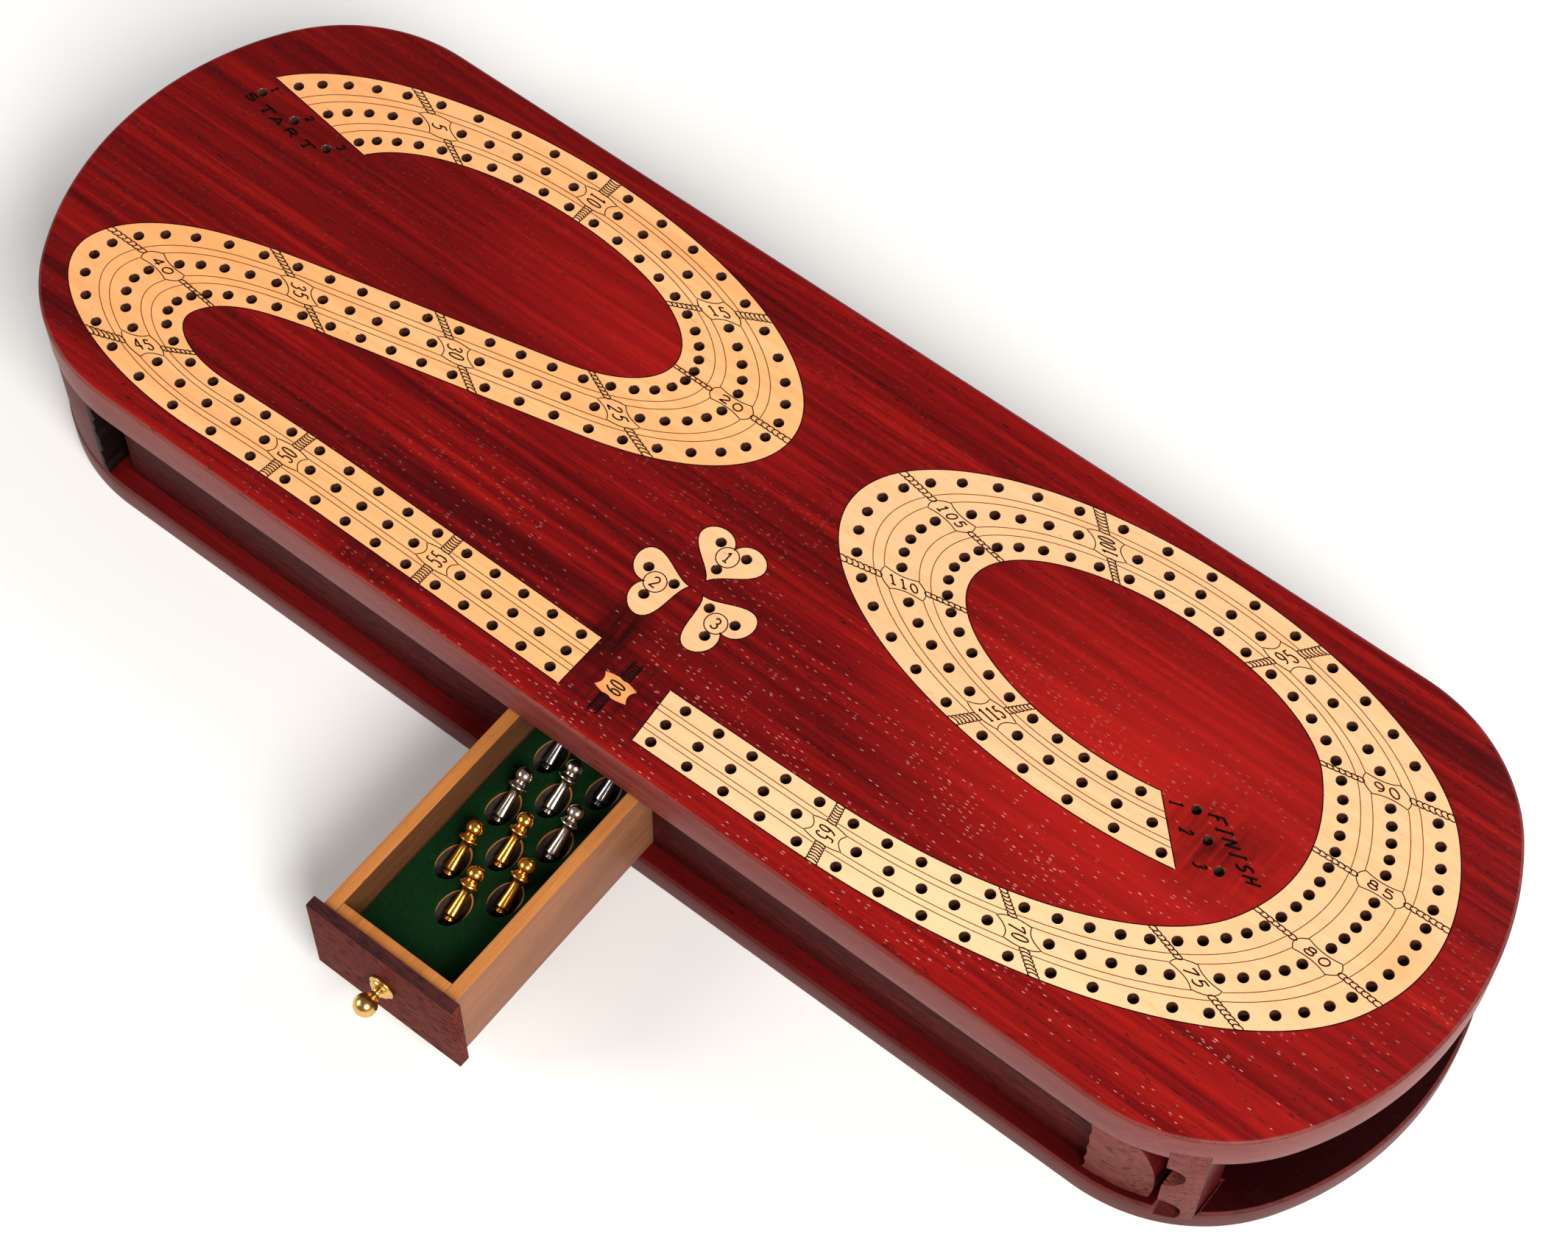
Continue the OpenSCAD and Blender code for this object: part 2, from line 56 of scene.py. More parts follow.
# Outline of both plates, and the peg holes, in millimetres as in the CAD source
BOARD_LENGTH = 457.2
BOARD_WIDTH = 152.4
END_RADIUS = 95.7
CORNER_RADIUS = 54.6
END_CENTRE = BOARD_LENGTH / 2 - END_RADIUS
CORNER_Y = BOARD_WIDTH / 2 - CORNER_RADIUS
CORNER_X = END_CENTRE + sqrt((END_RADIUS - CORNER_RADIUS) ** 2 - CORNER_Y ** 2)
HOLE_RADIUS = 1.45
HOLE_DEPTH = 9.3
HOLE_RIM = 0.12
HOLE_SIDES = 28
INLAY = 1.6
PLATE_EASING = 0.9
EASING_STEPS = 4
OUTLINE_STEP = 1.5
STRAIGHT_STEP = 12
SCREW_X = (-150, -60, 60, 150)
SCREW_Y = 64.2
SCREW_HOLE = ((3.66, 0), (1.76, 1.9), (1.76, base_thickness))
SCREW_SIDES = 32

# Tracks: a path is a list of [radius, sweep] or [0, length], laid out before the stretch
STRETCH = 2.275
LANE = 6.36
BAND_HALF = 8.95
BAND_STEP = 1.1
END_MARGIN = 2.15
GROUPS = 12
ROWS = 5
TWO = {
    "start": (-4.45, -58.7, 179.7),
    "path": [(0, 35.9), (163.8, 7.47), (-18.31, 104.33), (-28.79, 44.77), (-64.43, 9.77), (0, 37.9),
             (29.7, 131), (37.5, 93.4)],
    "groups": [22, 23.6, 25.3, 25.7, 24.1, 23.9, 24.5, 24.9, 24.6, 24.6, 24.7],
    "gap": 7.2,
    "lean": [0, 0, 0.1, 0.12, -0.18, -0.24, -0.15, -0.1, 0, -0.05, 0, -0.1, 0],
    "fan": [0, 0, 0.1, -0.1, 0, 0, 0, 0, 0, 0, 0, 0],
}
NINE = {
    "start": (6.5, -59.8, 2.2),
    "path": [(0, 21.8), (58, 74.2), (92, 33.5), (33, 273.5)],
    "groups": [25.1] + [25.8] * (GROUPS - 2),
    "gap": 8.3,
    "lean": [0.1] + [0] * (GROUPS - 1) + [-0.2],
    "fan": [0] * GROUPS,
}
START_HOLES = (-189.6, 28.0, 14.1, -1.95)
FINISH_HOLES = (149.8, 0.6, 7.35, -5.5)
HEART_CENTRE = (0.4, -21.7)
HEART_TURN = 120
HEART_HALF_WIDTH = 10.8
HEART_SCALE = 0.569
HEART_MIDDLE = 12
HEART_HOLES = ((-4.35, 2.7), (4.35, 2.7), (0, -4.75))
SIXTY_CENTRE = (2.4, -59.3)
# A shield's half size, the bulge and the hollow of its sides, and the step between its points
SIXTY_SHIELD = ((5.3, 2.3), 0.9, 1.1, 0.25)
DIVIDER_SHIELD = ((2.5, 2.3), 0.85, 0.7, 0.125)
NOTCH_X = (189.9, 199.1)
NOTCH_DEPTH = 9.1
BASE_NOTCH = 3.7


# -------- track layout
def piece_length(piece):
    radius, amount = piece
    return amount if radius == 0 else abs(radius) * radians(amount)


def along(pose, piece, distance):
    x, y, heading = pose
    radius = piece[0]
    if radius == 0:
        return x + distance * cos(heading), y + distance * sin(heading), heading
    turned = heading + distance / radius
    return (x + radius * (sin(turned) - sin(heading)),
            y - radius * (cos(turned) - cos(heading)), turned)


def track_length(track):
    return sum(piece_length(p) for p in track["path"])


def track_pose(track, distance):
    x, y, heading = track["start"]
    pose = (x, y, radians(heading))
    for piece in track["path"]:
        step = min(distance, piece_length(piece))
        pose = along(pose, piece, step)
        distance -= step
    return along(pose, piece, distance)


def spot(track, distance, offset):
    """Board position at a distance along the track and an offset to its left."""
    x, y, heading = track_pose(track, distance)
    return STRETCH * (x - offset * sin(heading)), y + offset * cos(heading)


def bounds_of_groups(track):
    marks = [0.0]
    for length in track["groups"]:
        marks.append(marks[-1] + length)
    return marks + [track_length(track)]


def lane_share(piece, offset):
    """Length of an offset lane for each millimetre of the centre line."""
    return 1 if piece[0] == 0 else 1 - offset / piece[0]


def lane_run(track, distance, offset):
    """Length along an offset lane up to a distance on the centre line."""
    run = 0.0
    for piece in track["path"]:
        step, share = min(distance, piece_length(piece)), lane_share(piece, offset)
        run += step * share
        distance -= step
    return run + distance * share


def lane_place(track, run, offset):
    """Distance on the centre line at a length along an offset lane."""
    distance = 0.0
    for piece in track["path"]:
        share = lane_share(piece, offset)
        step = min(run, piece_length(piece) * share)
        distance += step / share
        run -= step
    return distance + run / share


def track_holes(track):
    marks = bounds_of_groups(track)
    points = []
    for k in range(GROUPS):
        a, b = marks[k], marks[k + 1]
        low = a + (END_MARGIN if k == 0 else track["gap"] / 2)
        high = b - (END_MARGIN if k == GROUPS - 1 else track["gap"] / 2)
        for i in range(ROWS):
            for lane in (-1, 0, 1):
                side = lane * LANE
                first = lane_run(track, a + track["lean"][k] * side, side)
                last = lane_run(track, b + (track["lean"][k + 1] + track["fan"][k]) * side, side)
                t = lane_place(track, first + (last - first) * (i + 0.5) / ROWS, side)
                if lane == 0:
                    t = low + (high - low) * i / (ROWS - 1)
                points.append(spot(track, t, side))
    return points


def band_outline(track):
    total = track_length(track)
    n = ceil(total / BAND_STEP)
    side = [[spot(track, total * i / n, b) for i in range(n + 1)] for b in (-BAND_HALF, BAND_HALF)]
    return side[0] + side[1][::-1]


def row_of_three(row):
    return [(row[0] + i * row[2], row[1] + i * row[3]) for i in (-1, 0, 1)]


def heart_spot(n, p):
    t = radians(n * HEART_TURN)
    return (HEART_CENTRE[0] + p[0] * cos(t) - p[1] * sin(t),
            HEART_CENTRE[1] + p[0] * sin(t) + p[1] * cos(t))


def heart_outline(n):
    points = []
    for k in range(0, 360, 6):
        a = radians(k)
        y = 13 * cos(a) - 5 * cos(2 * a) - 2 * cos(3 * a) - cos(4 * a)
        points.append(heart_spot(n, (HEART_HALF_WIDTH * sin(a) ** 3, HEART_MIDDLE + HEART_SCALE * y)))
    return points[::-1]


def heart_holes(n):
    x, y = heart_spot(n, (0, HEART_MIDDLE))
    return [(x + across, y + up) for across, up in HEART_HOLES]


def shield_outline(half, bulge, hollow, step):
    w, h = half
    ups = np.arange(-1, 1 + step / 2, step)
    inner = ups[1:-1]
    top = [(w * u, h + bulge * (1 - u * u)) for u in ups]
    right = [(w - hollow * (1 - v * v), h * v) for v in inner[::-1]]
    bottom = [(w * u, -h - bulge * (1 - u * u)) for u in ups[::-1]]
    left = [(-w + hollow * (1 - v * v), h * v) for v in inner]
    return (top + right + bottom + left)[::-1]


def plate_outline(inset=0.0):
    """Rounded outline of the plates, counter-clockwise, and the ends of both post notches in it."""
    tilt = atan2(CORNER_Y, CORNER_X - END_CENTRE)
    near, far = (acos((x - CORNER_X) / CORNER_RADIUS) for x in NOTCH_X[::-1])
    quarter = pi / 2
    points, starts = [], []

    def arc(cx, cy, radius, *angles):
        for a0, a1 in zip(angles, angles[1:]):
            starts.append(len(points))
            n = max(2, ceil(radius * abs(a1 - a0) / OUTLINE_STEP))
            points.extend((cx + (radius - inset) * cos(a0 + (a1 - a0) * i / n),
                           cy + (radius - inset) * sin(a0 + (a1 - a0) * i / n)) for i in range(n))

    def edge(side):
        n = ceil(2 * CORNER_X / STRAIGHT_STEP)
        points.extend((-side * (CORNER_X - 2 * CORNER_X * i / n), side * (inset - BOARD_WIDTH / 2))
                      for i in range(n))

    arc(END_CENTRE, 0, END_RADIUS, -tilt, tilt)
    arc(CORNER_X, CORNER_Y, CORNER_RADIUS, tilt, near, far, quarter)
    edge(-1)
    arc(-CORNER_X, CORNER_Y, CORNER_RADIUS, quarter, pi - tilt)
    arc(-END_CENTRE, 0, END_RADIUS, pi - tilt, pi + tilt)
    arc(-CORNER_X, -CORNER_Y, CORNER_RADIUS, pi + tilt, 3 * quarter)
    edge(1)
    arc(CORNER_X, -CORNER_Y, CORNER_RADIUS, 3 * quarter, 4 * quarter - far, 4 * quarter - near,
        4 * quarter - tilt)
    return points, [(starts[2], starts[3]), (starts[-2], starts[-1])]


def notch_corners(n):
    """Inner corners of a post notch in the order of the outline."""
    side = 1 if n == 0 else -1
    ends = NOTCH_X[::-1] if n == 0 else NOTCH_X
    return [(x, side * (CORNER_Y + sqrt((CORNER_RADIUS - NOTCH_DEPTH) ** 2 - (x - CORNER_X) ** 2)))
            for x in np.linspace(*ends, 6)]


def plate_easing():
    """(inset, drop) pairs over a plate's rounded edge, from the face to the side."""
    angles = [pi / 2 * i / EASING_STEPS for i in range(EASING_STEPS + 1)]
    return [(PLATE_EASING * (1 - sin(a)), PLATE_EASING * (1 - cos(a))) for a in angles]


def full_turn(sides):
    return [2 * pi * i / sides for i in range(sides)]


def circle(centre, radius, sides):
    return [(centre[0] + radius * cos(a), centre[1] + radius * sin(a)) for a in full_turn(sides)]


def lengths(vectors):
    return np.maximum(np.linalg.norm(vectors, axis=1), 1e-9)[:, None]


def leftward(directions):
    """Unit vectors square to the directions, on their left."""
    return np.stack([-directions[:, 1], directions[:, 0]], 1) / lengths(directions)


def shrink(ring, distance):
    """The ring moved inwards by a small distance."""
    p = np.array(ring, float)
    before, after = p - np.roll(p, 1, 0), np.roll(p, -1, 0) - p
    both = before / lengths(before) + after / lengths(after)
    miter = np.clip(2 / lengths(both), 1, 1.6)
    return [tuple(q) for q in p + leftward(both) * miter * distance]


# -------- mesh building
LATHE_SIDES = 48
INK_DEPTH = 0.06


class Solid:
    """A closed mesh made from rings of points, in millimetres."""

    def __init__(self, flipped=False):
        self.points, self.faces, self.slots, self.smooth = [], [], [], []
        self.flipped = flipped

    def ring(self, outline, z):
        first = len(self.points)
        if np.isscalar(z):
            z = [z] * len(outline)
        self.points.extend((x, y, h) for (x, y), h in zip(outline, z))
        return list(range(first, len(self.points)))

    def face(self, corners, slot=0, smooth=False):
        self.faces.append(corners[::-1] if self.flipped else corners)
        self.slots.append(slot)
        self.smooth.append(smooth)

    def wall(self, upper, lower, inward=False, slot=0):
        for i in range(len(upper)):
            j = (i + 1) % len(upper)
            quad = [lower[i], lower[j], upper[j], upper[i]]
            self.face(quad[::-1] if inward else quad, slot, True)

    def cap(self, outer, holes=(), up=True, slot=0, inner=(), smooth=False):
        """Triangles over a ring with holes in it, by way of any inner points."""
        rings = [outer, *holes]
        index = [i for r in rings for i in r] + list(inner)
        flat = [Vector(self.points[i][:2]) for i in index]
        edges, first = [], 0
        for r in rings:
            edges += [(first + i, first + (i + 1) % len(r)) for i in range(len(r))]
            first += len(r)
        got = delaunay_2d_cdt(flat, edges, [], 0, 1e-7)
        to_input = [index[o[0]] if o else None for o in got[3]]
        corners = np.array([tuple(v) for v in got[0]])
        middles = corners[np.array(got[2])].sum(1) / 3
        keep = inside(middles, [self.points[i][:2] for i in outer])
        for r in holes:
            ring = np.array([self.points[i][:2] for i in r])
            near = np.where(np.all((middles > ring.min(0)) & (middles < ring.max(0)), axis=1))[0]
            if len(near):
                keep[near[inside(middles[near], ring)]] = False
        for f, kept in zip(got[2], keep):
            tri = [to_input[i] for i in f]
            if kept and None not in tri:
                self.face(tri if up else tri[::-1], slot, smooth)

    def hole(self, centre, profile, slot, sides=HOLE_SIDES):
        """The wall of a round hole from (radius, height) pairs; returns its first and last rings."""
        rings = [self.ring(circle(centre, radius, sides), z) for radius, z in profile]
        for upper, lower in zip(rings, rings[1:]):
            self.wall(upper, lower, inward=True, slot=slot)
        return rings[0], rings[-1]

    def peg_hole(self, centre, slot, depth):
        """A peg hole from the playing face down, with a softened rim."""
        profile = ((HOLE_RADIUS + HOLE_RIM, Z), (HOLE_RADIUS, Z - HOLE_RIM), (HOLE_RADIUS, Z - depth))
        return self.hole(centre, profile, slot)

    def stroke(self, line, half, z_top, closed=False):
        """A closed ribbon that follows a line, lying just proud of the face."""
        p = np.array(line, float)
        ahead = np.roll(p, -1, 0) - np.roll(p, 1, 0) if closed else np.gradient(p, axis=0)
        side = leftward(ahead) * half
        tl, tr = self.ring(p + side, z_top), self.ring(p - side, z_top)
        bl, br = self.ring(p + side, z_top - INK_DEPTH), self.ring(p - side, z_top - INK_DEPTH)
        n = len(p)
        for i in range(n if closed else n - 1):
            j = (i + 1) % n
            for a, b in ((tr, tl), (tl, bl), (bl, br), (br, tr)):
                self.face([a[i], a[j], b[j], b[i]])
        if not closed:
            self.face([ring[0] for ring in (tl, bl, br, tr)])
            self.face([ring[-1] for ring in (tr, br, bl, tl)])

    def lathe(self, profile, matrix):
        """A turned shape: (radius, height) pairs from a point on the axis to the next one."""
        rings = []
        for radius, height in profile:
            first = len(self.points)
            for a in full_turn(LATHE_SIDES) if radius else [0]:
                self.points.append(tuple(matrix @ Vector((radius * cos(a), radius * sin(a), height))))
            rings.append(list(range(first, len(self.points))))
        for upper, lower in zip(rings, rings[1:]):
            for i in range(LATHE_SIDES):
                j = (i + 1) % LATHE_SIDES
                around = ((lower, i), (lower, j), (upper, j), (upper, i))
                corners = [ring[k % len(ring)] for ring, k in around]
                self.face(list(dict.fromkeys(corners)), smooth=True)

    def build(self, name, materials, body, slot_name, *nodes, sharp=40):
        mesh = bpy.data.meshes.new(name)
        mesh.from_pydata([(x * MM, y * MM, z * MM) for x, y, z in self.points], [], self.faces)
        for m in materials:
            mesh.materials.append(m)
        mesh.polygons.foreach_set("material_index", self.slots)
        mesh.polygons.foreach_set("use_smooth", self.smooth)
        mesh.set_sharp_from_angle(angle=radians(sharp))
        mesh.validate()
        return place(name, mesh, body, slot_name, *nodes)


def add(name, data):
    obj = bpy.data.objects.new(name, data)
    bpy.context.scene.collection.objects.link(obj)
    return obj


def place(name, mesh, body, slot_name, *nodes):
    obj = add(name, mesh)
    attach(obj, body)
    if nodes:
        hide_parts(*nodes)
    return obj


def inside(points, ring):
    """Which points lie inside a ring, by counting crossings."""
    ring = np.asarray(ring, float)
    a, b = ring, np.roll(ring, -1, 0)
    result = np.zeros(len(points), bool)
    for start in range(0, len(points), 4000):
        p = points[start:start + 4000]
        x, y = p[:, :1], p[:, 1:2]
        crosses = (a[:, 1] > y) != (b[:, 1] > y)
        with np.errstate(divide="ignore", invalid="ignore"):
            at = a[:, 0] + (y - a[:, 1]) * (b[:, 0] - a[:, 0]) / (b[:, 1] - a[:, 1])
        result[start:start + 4000] = (np.sum(crosses & (x < at), axis=1) % 2) == 1
    return result


# -------- camera, lights and floor
def make_camera():
    """The camera that took the photo, fitted to the board's outline and its holes."""
    data = bpy.data.cameras.new("camera")
    data.sensor_width = 36
    data.lens = 78.88
    data.shift_x = 0.00545
    data.shift_y = 0.0478
    data.clip_start = 0.05
    data.clip_end = 20
    cam = add("camera", data)
    forward = Vector((-0.29397562, 0.38760182, -0.87369512)).normalized()
    right = forward.cross(Vector((-0.54415856, 0.68361804, 0.48637212))).normalized()
    up = right.cross(forward)
    turn = Matrix((right, up, -forward)).transposed().to_4x4()
    cam.matrix_world = Matrix.Translation((0.3027, -0.3857, 0.8434)) @ turn
    bpy.context.scene.camera = cam


def area_light(name, position, size, power, colour):
    """A soft light that faces the board's centre."""
    data = bpy.data.lights.new(name, "AREA")
    data.shape = "RECTANGLE"
    data.size, data.size_y = size
    data.energy = power
    data.color = colour
    light = add(name, data)
    light.location = position
    light.rotation_mode = "QUATERNION"
    light.rotation_quaternion = (-Vector(position)).to_track_quat("-Z", "Y")


make_camera()


# -------- materials
class Paint:
    """A procedural material on one Principled shader, in object coordinates."""

    def __init__(self, name, **sockets):
        self.material = bpy.data.materials.new(name)
        self.material.use_nodes = True
        self.tree = self.material.node_tree
        self.shader = self.tree.nodes["Principled BSDF"]
        for key, value in sockets.items():
            self.shader.inputs[key.replace("_", " ")].default_value = value
        self.coordinates = self.node("TexCoord").outputs["Object"]

    def node(self, kind, **links):
        made = self.tree.nodes.new("ShaderNode" + kind)
        for key, value in links.items():
            self.join(value, made.inputs[key.replace("_", " ")])
        return made

    def join(self, value, socket):
        if isinstance(value, bpy.types.NodeSocket):
            self.tree.links.new(value, socket)
        else:
            socket.default_value = value

    def mapped(self, scale, shift=(0, 0, 0)):
        made = self.node("Mapping", Vector=self.coordinates, Scale=scale, Location=shift)
        return made.outputs["Vector"]

    def noise(self, scale, detail=4.0, roughness=0.55, distortion=0.0, shift=(0, 0, 0)):
        made = self.node("TexNoise", Vector=self.mapped(scale, shift), Scale=1.0,
                         Detail=detail, Roughness=roughness, Distortion=distortion)
        return made.outputs["Fac"]

    def cells(self, scale):
        """Distance and random colour of small cells."""
        made = self.node("TexVoronoi", Vector=self.mapped(scale), Scale=1.0)
        return made.outputs["Distance"], made.outputs["Color"]

    def ramp(self, value, *stops):
        made = self.node("ValToRGB", Fac=value)
        marks = made.color_ramp.elements
        while len(marks) < len(stops):
            marks.new(0.5)
        for mark, (position, colour) in zip(marks, stops):
            mark.position = position
            mark.color = (*colour, 1)
        return made.outputs["Color"]

    def grey(self, value, *stops):
        return self.ramp(value, *((position, (g, g, g)) for position, g in stops))

    def blot(self, x, y, half_x, half_y):
        """One at a board position, falling to nothing at half_x and half_y from it."""
        place_in_blot = self.mapped((1 / half_x, 1 / half_y, 0), (-x / half_x, -y / half_y, 0))
        made = self.node("TexGradient", Vector=place_in_blot)
        made.gradient_type = "SPHERICAL"
        return made.outputs["Fac"]

    def math(self, operation, a, b):
        made = self.node("Math")
        made.operation = operation
        for value, socket in zip((a, b), made.inputs):
            self.join(value, socket)
        return made.outputs["Value"]

    def times(self, a, b):
        return self.math("MULTIPLY", a, b)

    def mix(self, amount, a, b, blend="MIX"):
        made = self.node("Mix")
        made.data_type = "RGBA"
        made.blend_type = blend
        self.join(amount, made.inputs["Factor"])
        for value, key in ((a, 6), (b, 7)):
            if isinstance(value, tuple):
                value = (*value, 1)
            self.join(value, made.inputs[key])
        return made.outputs[2]

    def finish(self, colour, roughness, height, depth, strength):
        self.join(colour, self.shader.inputs["Base Color"])
        if roughness is not None:
            self.join(roughness, self.shader.inputs["Roughness"])
        bump = self.node("Bump", Height=height, Distance=depth, Strength=strength)
        self.join(bump.outputs["Normal"], self.shader.inputs["Normal"])
        return self.material


def grain(along, across, axis="X"):
    """Scale of a texture that is drawn out along a grain direction, in cells per metre."""
    return tuple(along if a == axis else across for a in "XYZ")


def wood(name, deep, middle, bright, axis="X", streaks=(0.3, 0.5, 0.72), pores=0.5, fibres=0.55,
         pore_colour=(0.01, 0.002, 0.002), roughness=0.5, specular=0.2, shift=(0, 0, 0),
         dashes=(260, 2300), pore_glints=0.0, blots=()):
    """Open-grained hardwood: broad streaks, fine fibres and short dark pores along one axis.

    A blot is (x, y, half_x, half_y, strength, tint), and with no tint it is a ragged dark streak.
    """
    paint = Paint(name, Specular_IOR_Level=specular)
    broad = paint.noise(grain(2.6, 44, axis), 5, 0.6, 0.5, shift)
    fine = paint.noise(grain(8, 380, axis), 4, 0.6, 0.2, shift)
    fibre = paint.noise(grain(60, 2200, axis), 3, 0.6, 0.0, shift)
    tone = paint.math("ADD", paint.times(broad, 0.5), paint.times(fine, 0.5))
    colour = paint.ramp(tone, (streaks[0], deep), (streaks[1], middle), (streaks[2], bright))
    colour = paint.mix(fibres, colour, paint.grey(fibre, (0.3, 0.45), (0.65, 1.0)), "MULTIPLY")
    dash = paint.noise(grain(*dashes, axis), 2, 0.5, 0.0, shift)
    pore = paint.grey(dash, (0.66 - 0.1 * pores, 0), (0.72 - 0.1 * pores, 1))
    colour = paint.mix(paint.times(pore, 0.8), colour, pore_colour)
    height = paint.math("SUBTRACT", paint.times(fibre, 0.25), pore)
    gloss = paint.math("ADD", paint.times(fine, 0.16), roughness - 0.06)
    for x, y, half_x, half_y, strength, tint in blots:
        shade = paint.times(paint.blot(x, y, half_x, half_y), strength)
        if tint is None:
            ragged = paint.grey(paint.noise((500, 60, 500), 3), (0.3, 0.5), (0.65, 1.6))
            shade = paint.times(shade, ragged)
            tint = tuple(c * 0.3 for c in deep)
        colour = paint.mix(shade, colour, tint)
    # painted highlights in the pores, when asked for
    if pore_glints:
        colour = painted_pore_glints(paint, colour, pore_glints, axis)
    return paint.finish(colour, gloss, height, 0.00012, 0.5)


def painted_pore_glints(paint, colour, amount, axis):
    """Painted highlights: small glints in the open pores, in patches, and most of them near the front right
    edge, where the light reflects.
    """
    distance, random_colour = paint.cells(grain(420, 2300, axis))
    patch = paint.noise((16, 46, 16), 3, shift=(2, 2, 2))
    lit = paint.grey(patch, (0.4, 1 - amount * 0.1), (0.66, 1 - amount * 2))
    draw = paint.node("SeparateColor", Color=random_colour).outputs["Red"]
    chosen = paint.math("GREATER_THAN", draw, lit)
    glint = paint.times(paint.grey(distance, (0.12, 1), (0.3, 0)), chosen)
    near = paint.grey(paint.blot(0.12, -0.08, 0.28, 0.12), (0.05, 0.05), (0.6, 0.7))
    return paint.mix(paint.times(glint, near), colour, (0.8, 0.42, 0.36))


# The first blot is painted shade over the left end, the second a painted pool of light on the right loop.
RED = wood("red_hardwood", (0.065, 0.0015, 0.002), (0.17, 0.003, 0.0035), (0.33, 0.008, 0.005),
           streaks=(0.36, 0.49, 0.63), pores=0.3, fibres=0.45, roughness=0.36, specular=0.12, pore_glints=0.2,
           blots=((-0.17, 0.06, 0.14, 0.09, 0.5, (0.06, 0.0015, 0.002)),
                  (0.135, 0.0, 0.1, 0.06, 0.6, (0.52, 0.015, 0.01)),
                  (-0.06, 0.03, 0.07, 0.03, 0.4, (0.4, 0.01, 0.008)),
                  (-0.0085, -0.047, 0.009, 0.02, 0.9, None), (0.004, -0.06, 0.03, 0.02, 0.6, None),
                  (-0.075, -0.07, 0.02, 0.012, 0.5, None), (0.152, 0.0, 0.026, 0.02, 0.6, None)))
# Painted sheen: a paler, pinker copy of the red wood for the plate's sides, standing in for the light they
# reflect.
RED_SIDE_SHEEN = wood("red_hardwood_side_sheen", (0.11, 0.014, 0.013), (0.18, 0.03, 0.026), (0.25, 0.055, 0.045),
                pores=0.1, roughness=0.36, specular=0.15)
DARK_RED = wood("dark_red_hardwood", (0.03, 0.002, 0.003), (0.085, 0.004, 0.005), (0.15, 0.008, 0.008),
                roughness=0.34, shift=(3, 1, 2))
# The blot paints shade over the right pocket, under the top plate.
BASE_RED = wood("bottom_plate_red", (0.06, 0.0025, 0.003), (0.11, 0.0045, 0.005), (0.17, 0.008, 0.007),
                roughness=0.3, shift=(5, 2, 1), pores=0.2, specular=0.05,
                blots=((0.19, 0, 0.12, 0.12, 1.8, (0.012, 0.0008, 0.001)),))
# Painted sheen: a paler, greyer copy of the bottom plate's red for its sides, standing in for reflected
# light.
BASE_SIDE_SHEEN = wood("bottom_plate_side_sheen", (0.06, 0.008, 0.008), (0.11, 0.018, 0.017), (0.16, 0.034, 0.03),
                 pores=0.1, roughness=0.4, specular=0.1, shift=(2, 2, 2))
ROSE_GRAIN = dict(dashes=(110, 1700), pore_colour=(0.015, 0.002, 0.002), specular=0.08,
                  shift=(1, 7, 3))
ROSE = wood("rose_hardwood", (0.1, 0.02, 0.017), (0.165, 0.037, 0.03), (0.23, 0.063, 0.052), pores=0.75,
            **ROSE_GRAIN)
# The blot is a painted shadow in the gap at the cover's left end, by the front rail.
ROSE_END = wood("rose_hardwood_curved", (0.075, 0.016, 0.015), (0.125, 0.03, 0.028), (0.17, 0.05, 0.047),
                axis="Y", pores=0.6, blots=((-0.1745, -0.066, 0.0042, 0.022, 3.0, (0.006, 0.002, 0.002)),),
                **ROSE_GRAIN)
PURPLE = wood("purple_hardwood", (0.09, 0.015, 0.013), (0.15, 0.03, 0.024), (0.21, 0.05, 0.04),
              pores=1.5, pore_colour=(0.012, 0.001, 0.001), specular=0.01, shift=(2, 9, 4))
# The first blot is painted light, brightening the track towards the front right; the second is an orange spot
# at the bend.
MAPLE = wood("maple", (0.77, 0.4, 0.19), (0.83, 0.455, 0.235), (0.87, 0.52, 0.3), fibres=0.12, specular=0.2,
             streaks=(0.3, 0.5, 0.7), pores=-0.4, pore_colour=(0.55, 0.28, 0.12), roughness=0.42,
             blots=((0.1, -0.06, 0.11, 0.05, 0.6, (0.9, 0.6, 0.34)),
                    (0.2075, 0.002, 0.012, 0.016, 0.75, (0.7, 0.33, 0.13))))
WARM_MAPLE = wood("warm_maple", (0.74, 0.33, 0.125), (0.83, 0.42, 0.175), (0.87, 0.49, 0.235), fibres=0.12,
                  streaks=(0.3, 0.5, 0.7), pores=-0.4, pore_colour=(0.5, 0.22, 0.08), roughness=0.42,
                  blots=((-0.19, 0.0, 0.07, 0.07, 0.8, (0.78, 0.31, 0.1)),))
ORANGE_MAPLE = wood("orange_maple", (0.6, 0.22, 0.06), (0.72, 0.31, 0.1), (0.78, 0.4, 0.16), fibres=0.15,
                    pores=-0.4, pore_colour=(0.4, 0.15, 0.05), roughness=0.42)
BOX_WOOD, BOX_WOOD_X = (
    wood(name, (0.21, 0.075, 0.035), (0.28, 0.112, 0.054), (0.34, 0.15, 0.078), axis, fibres=0.45, pores=-0.1,
         pore_colour=(0.12, 0.045, 0.02), shift=(4, 4, 4))
    for name, axis in (("drawer_side_wood", "Y"), ("drawer_cross_wood", "X")))
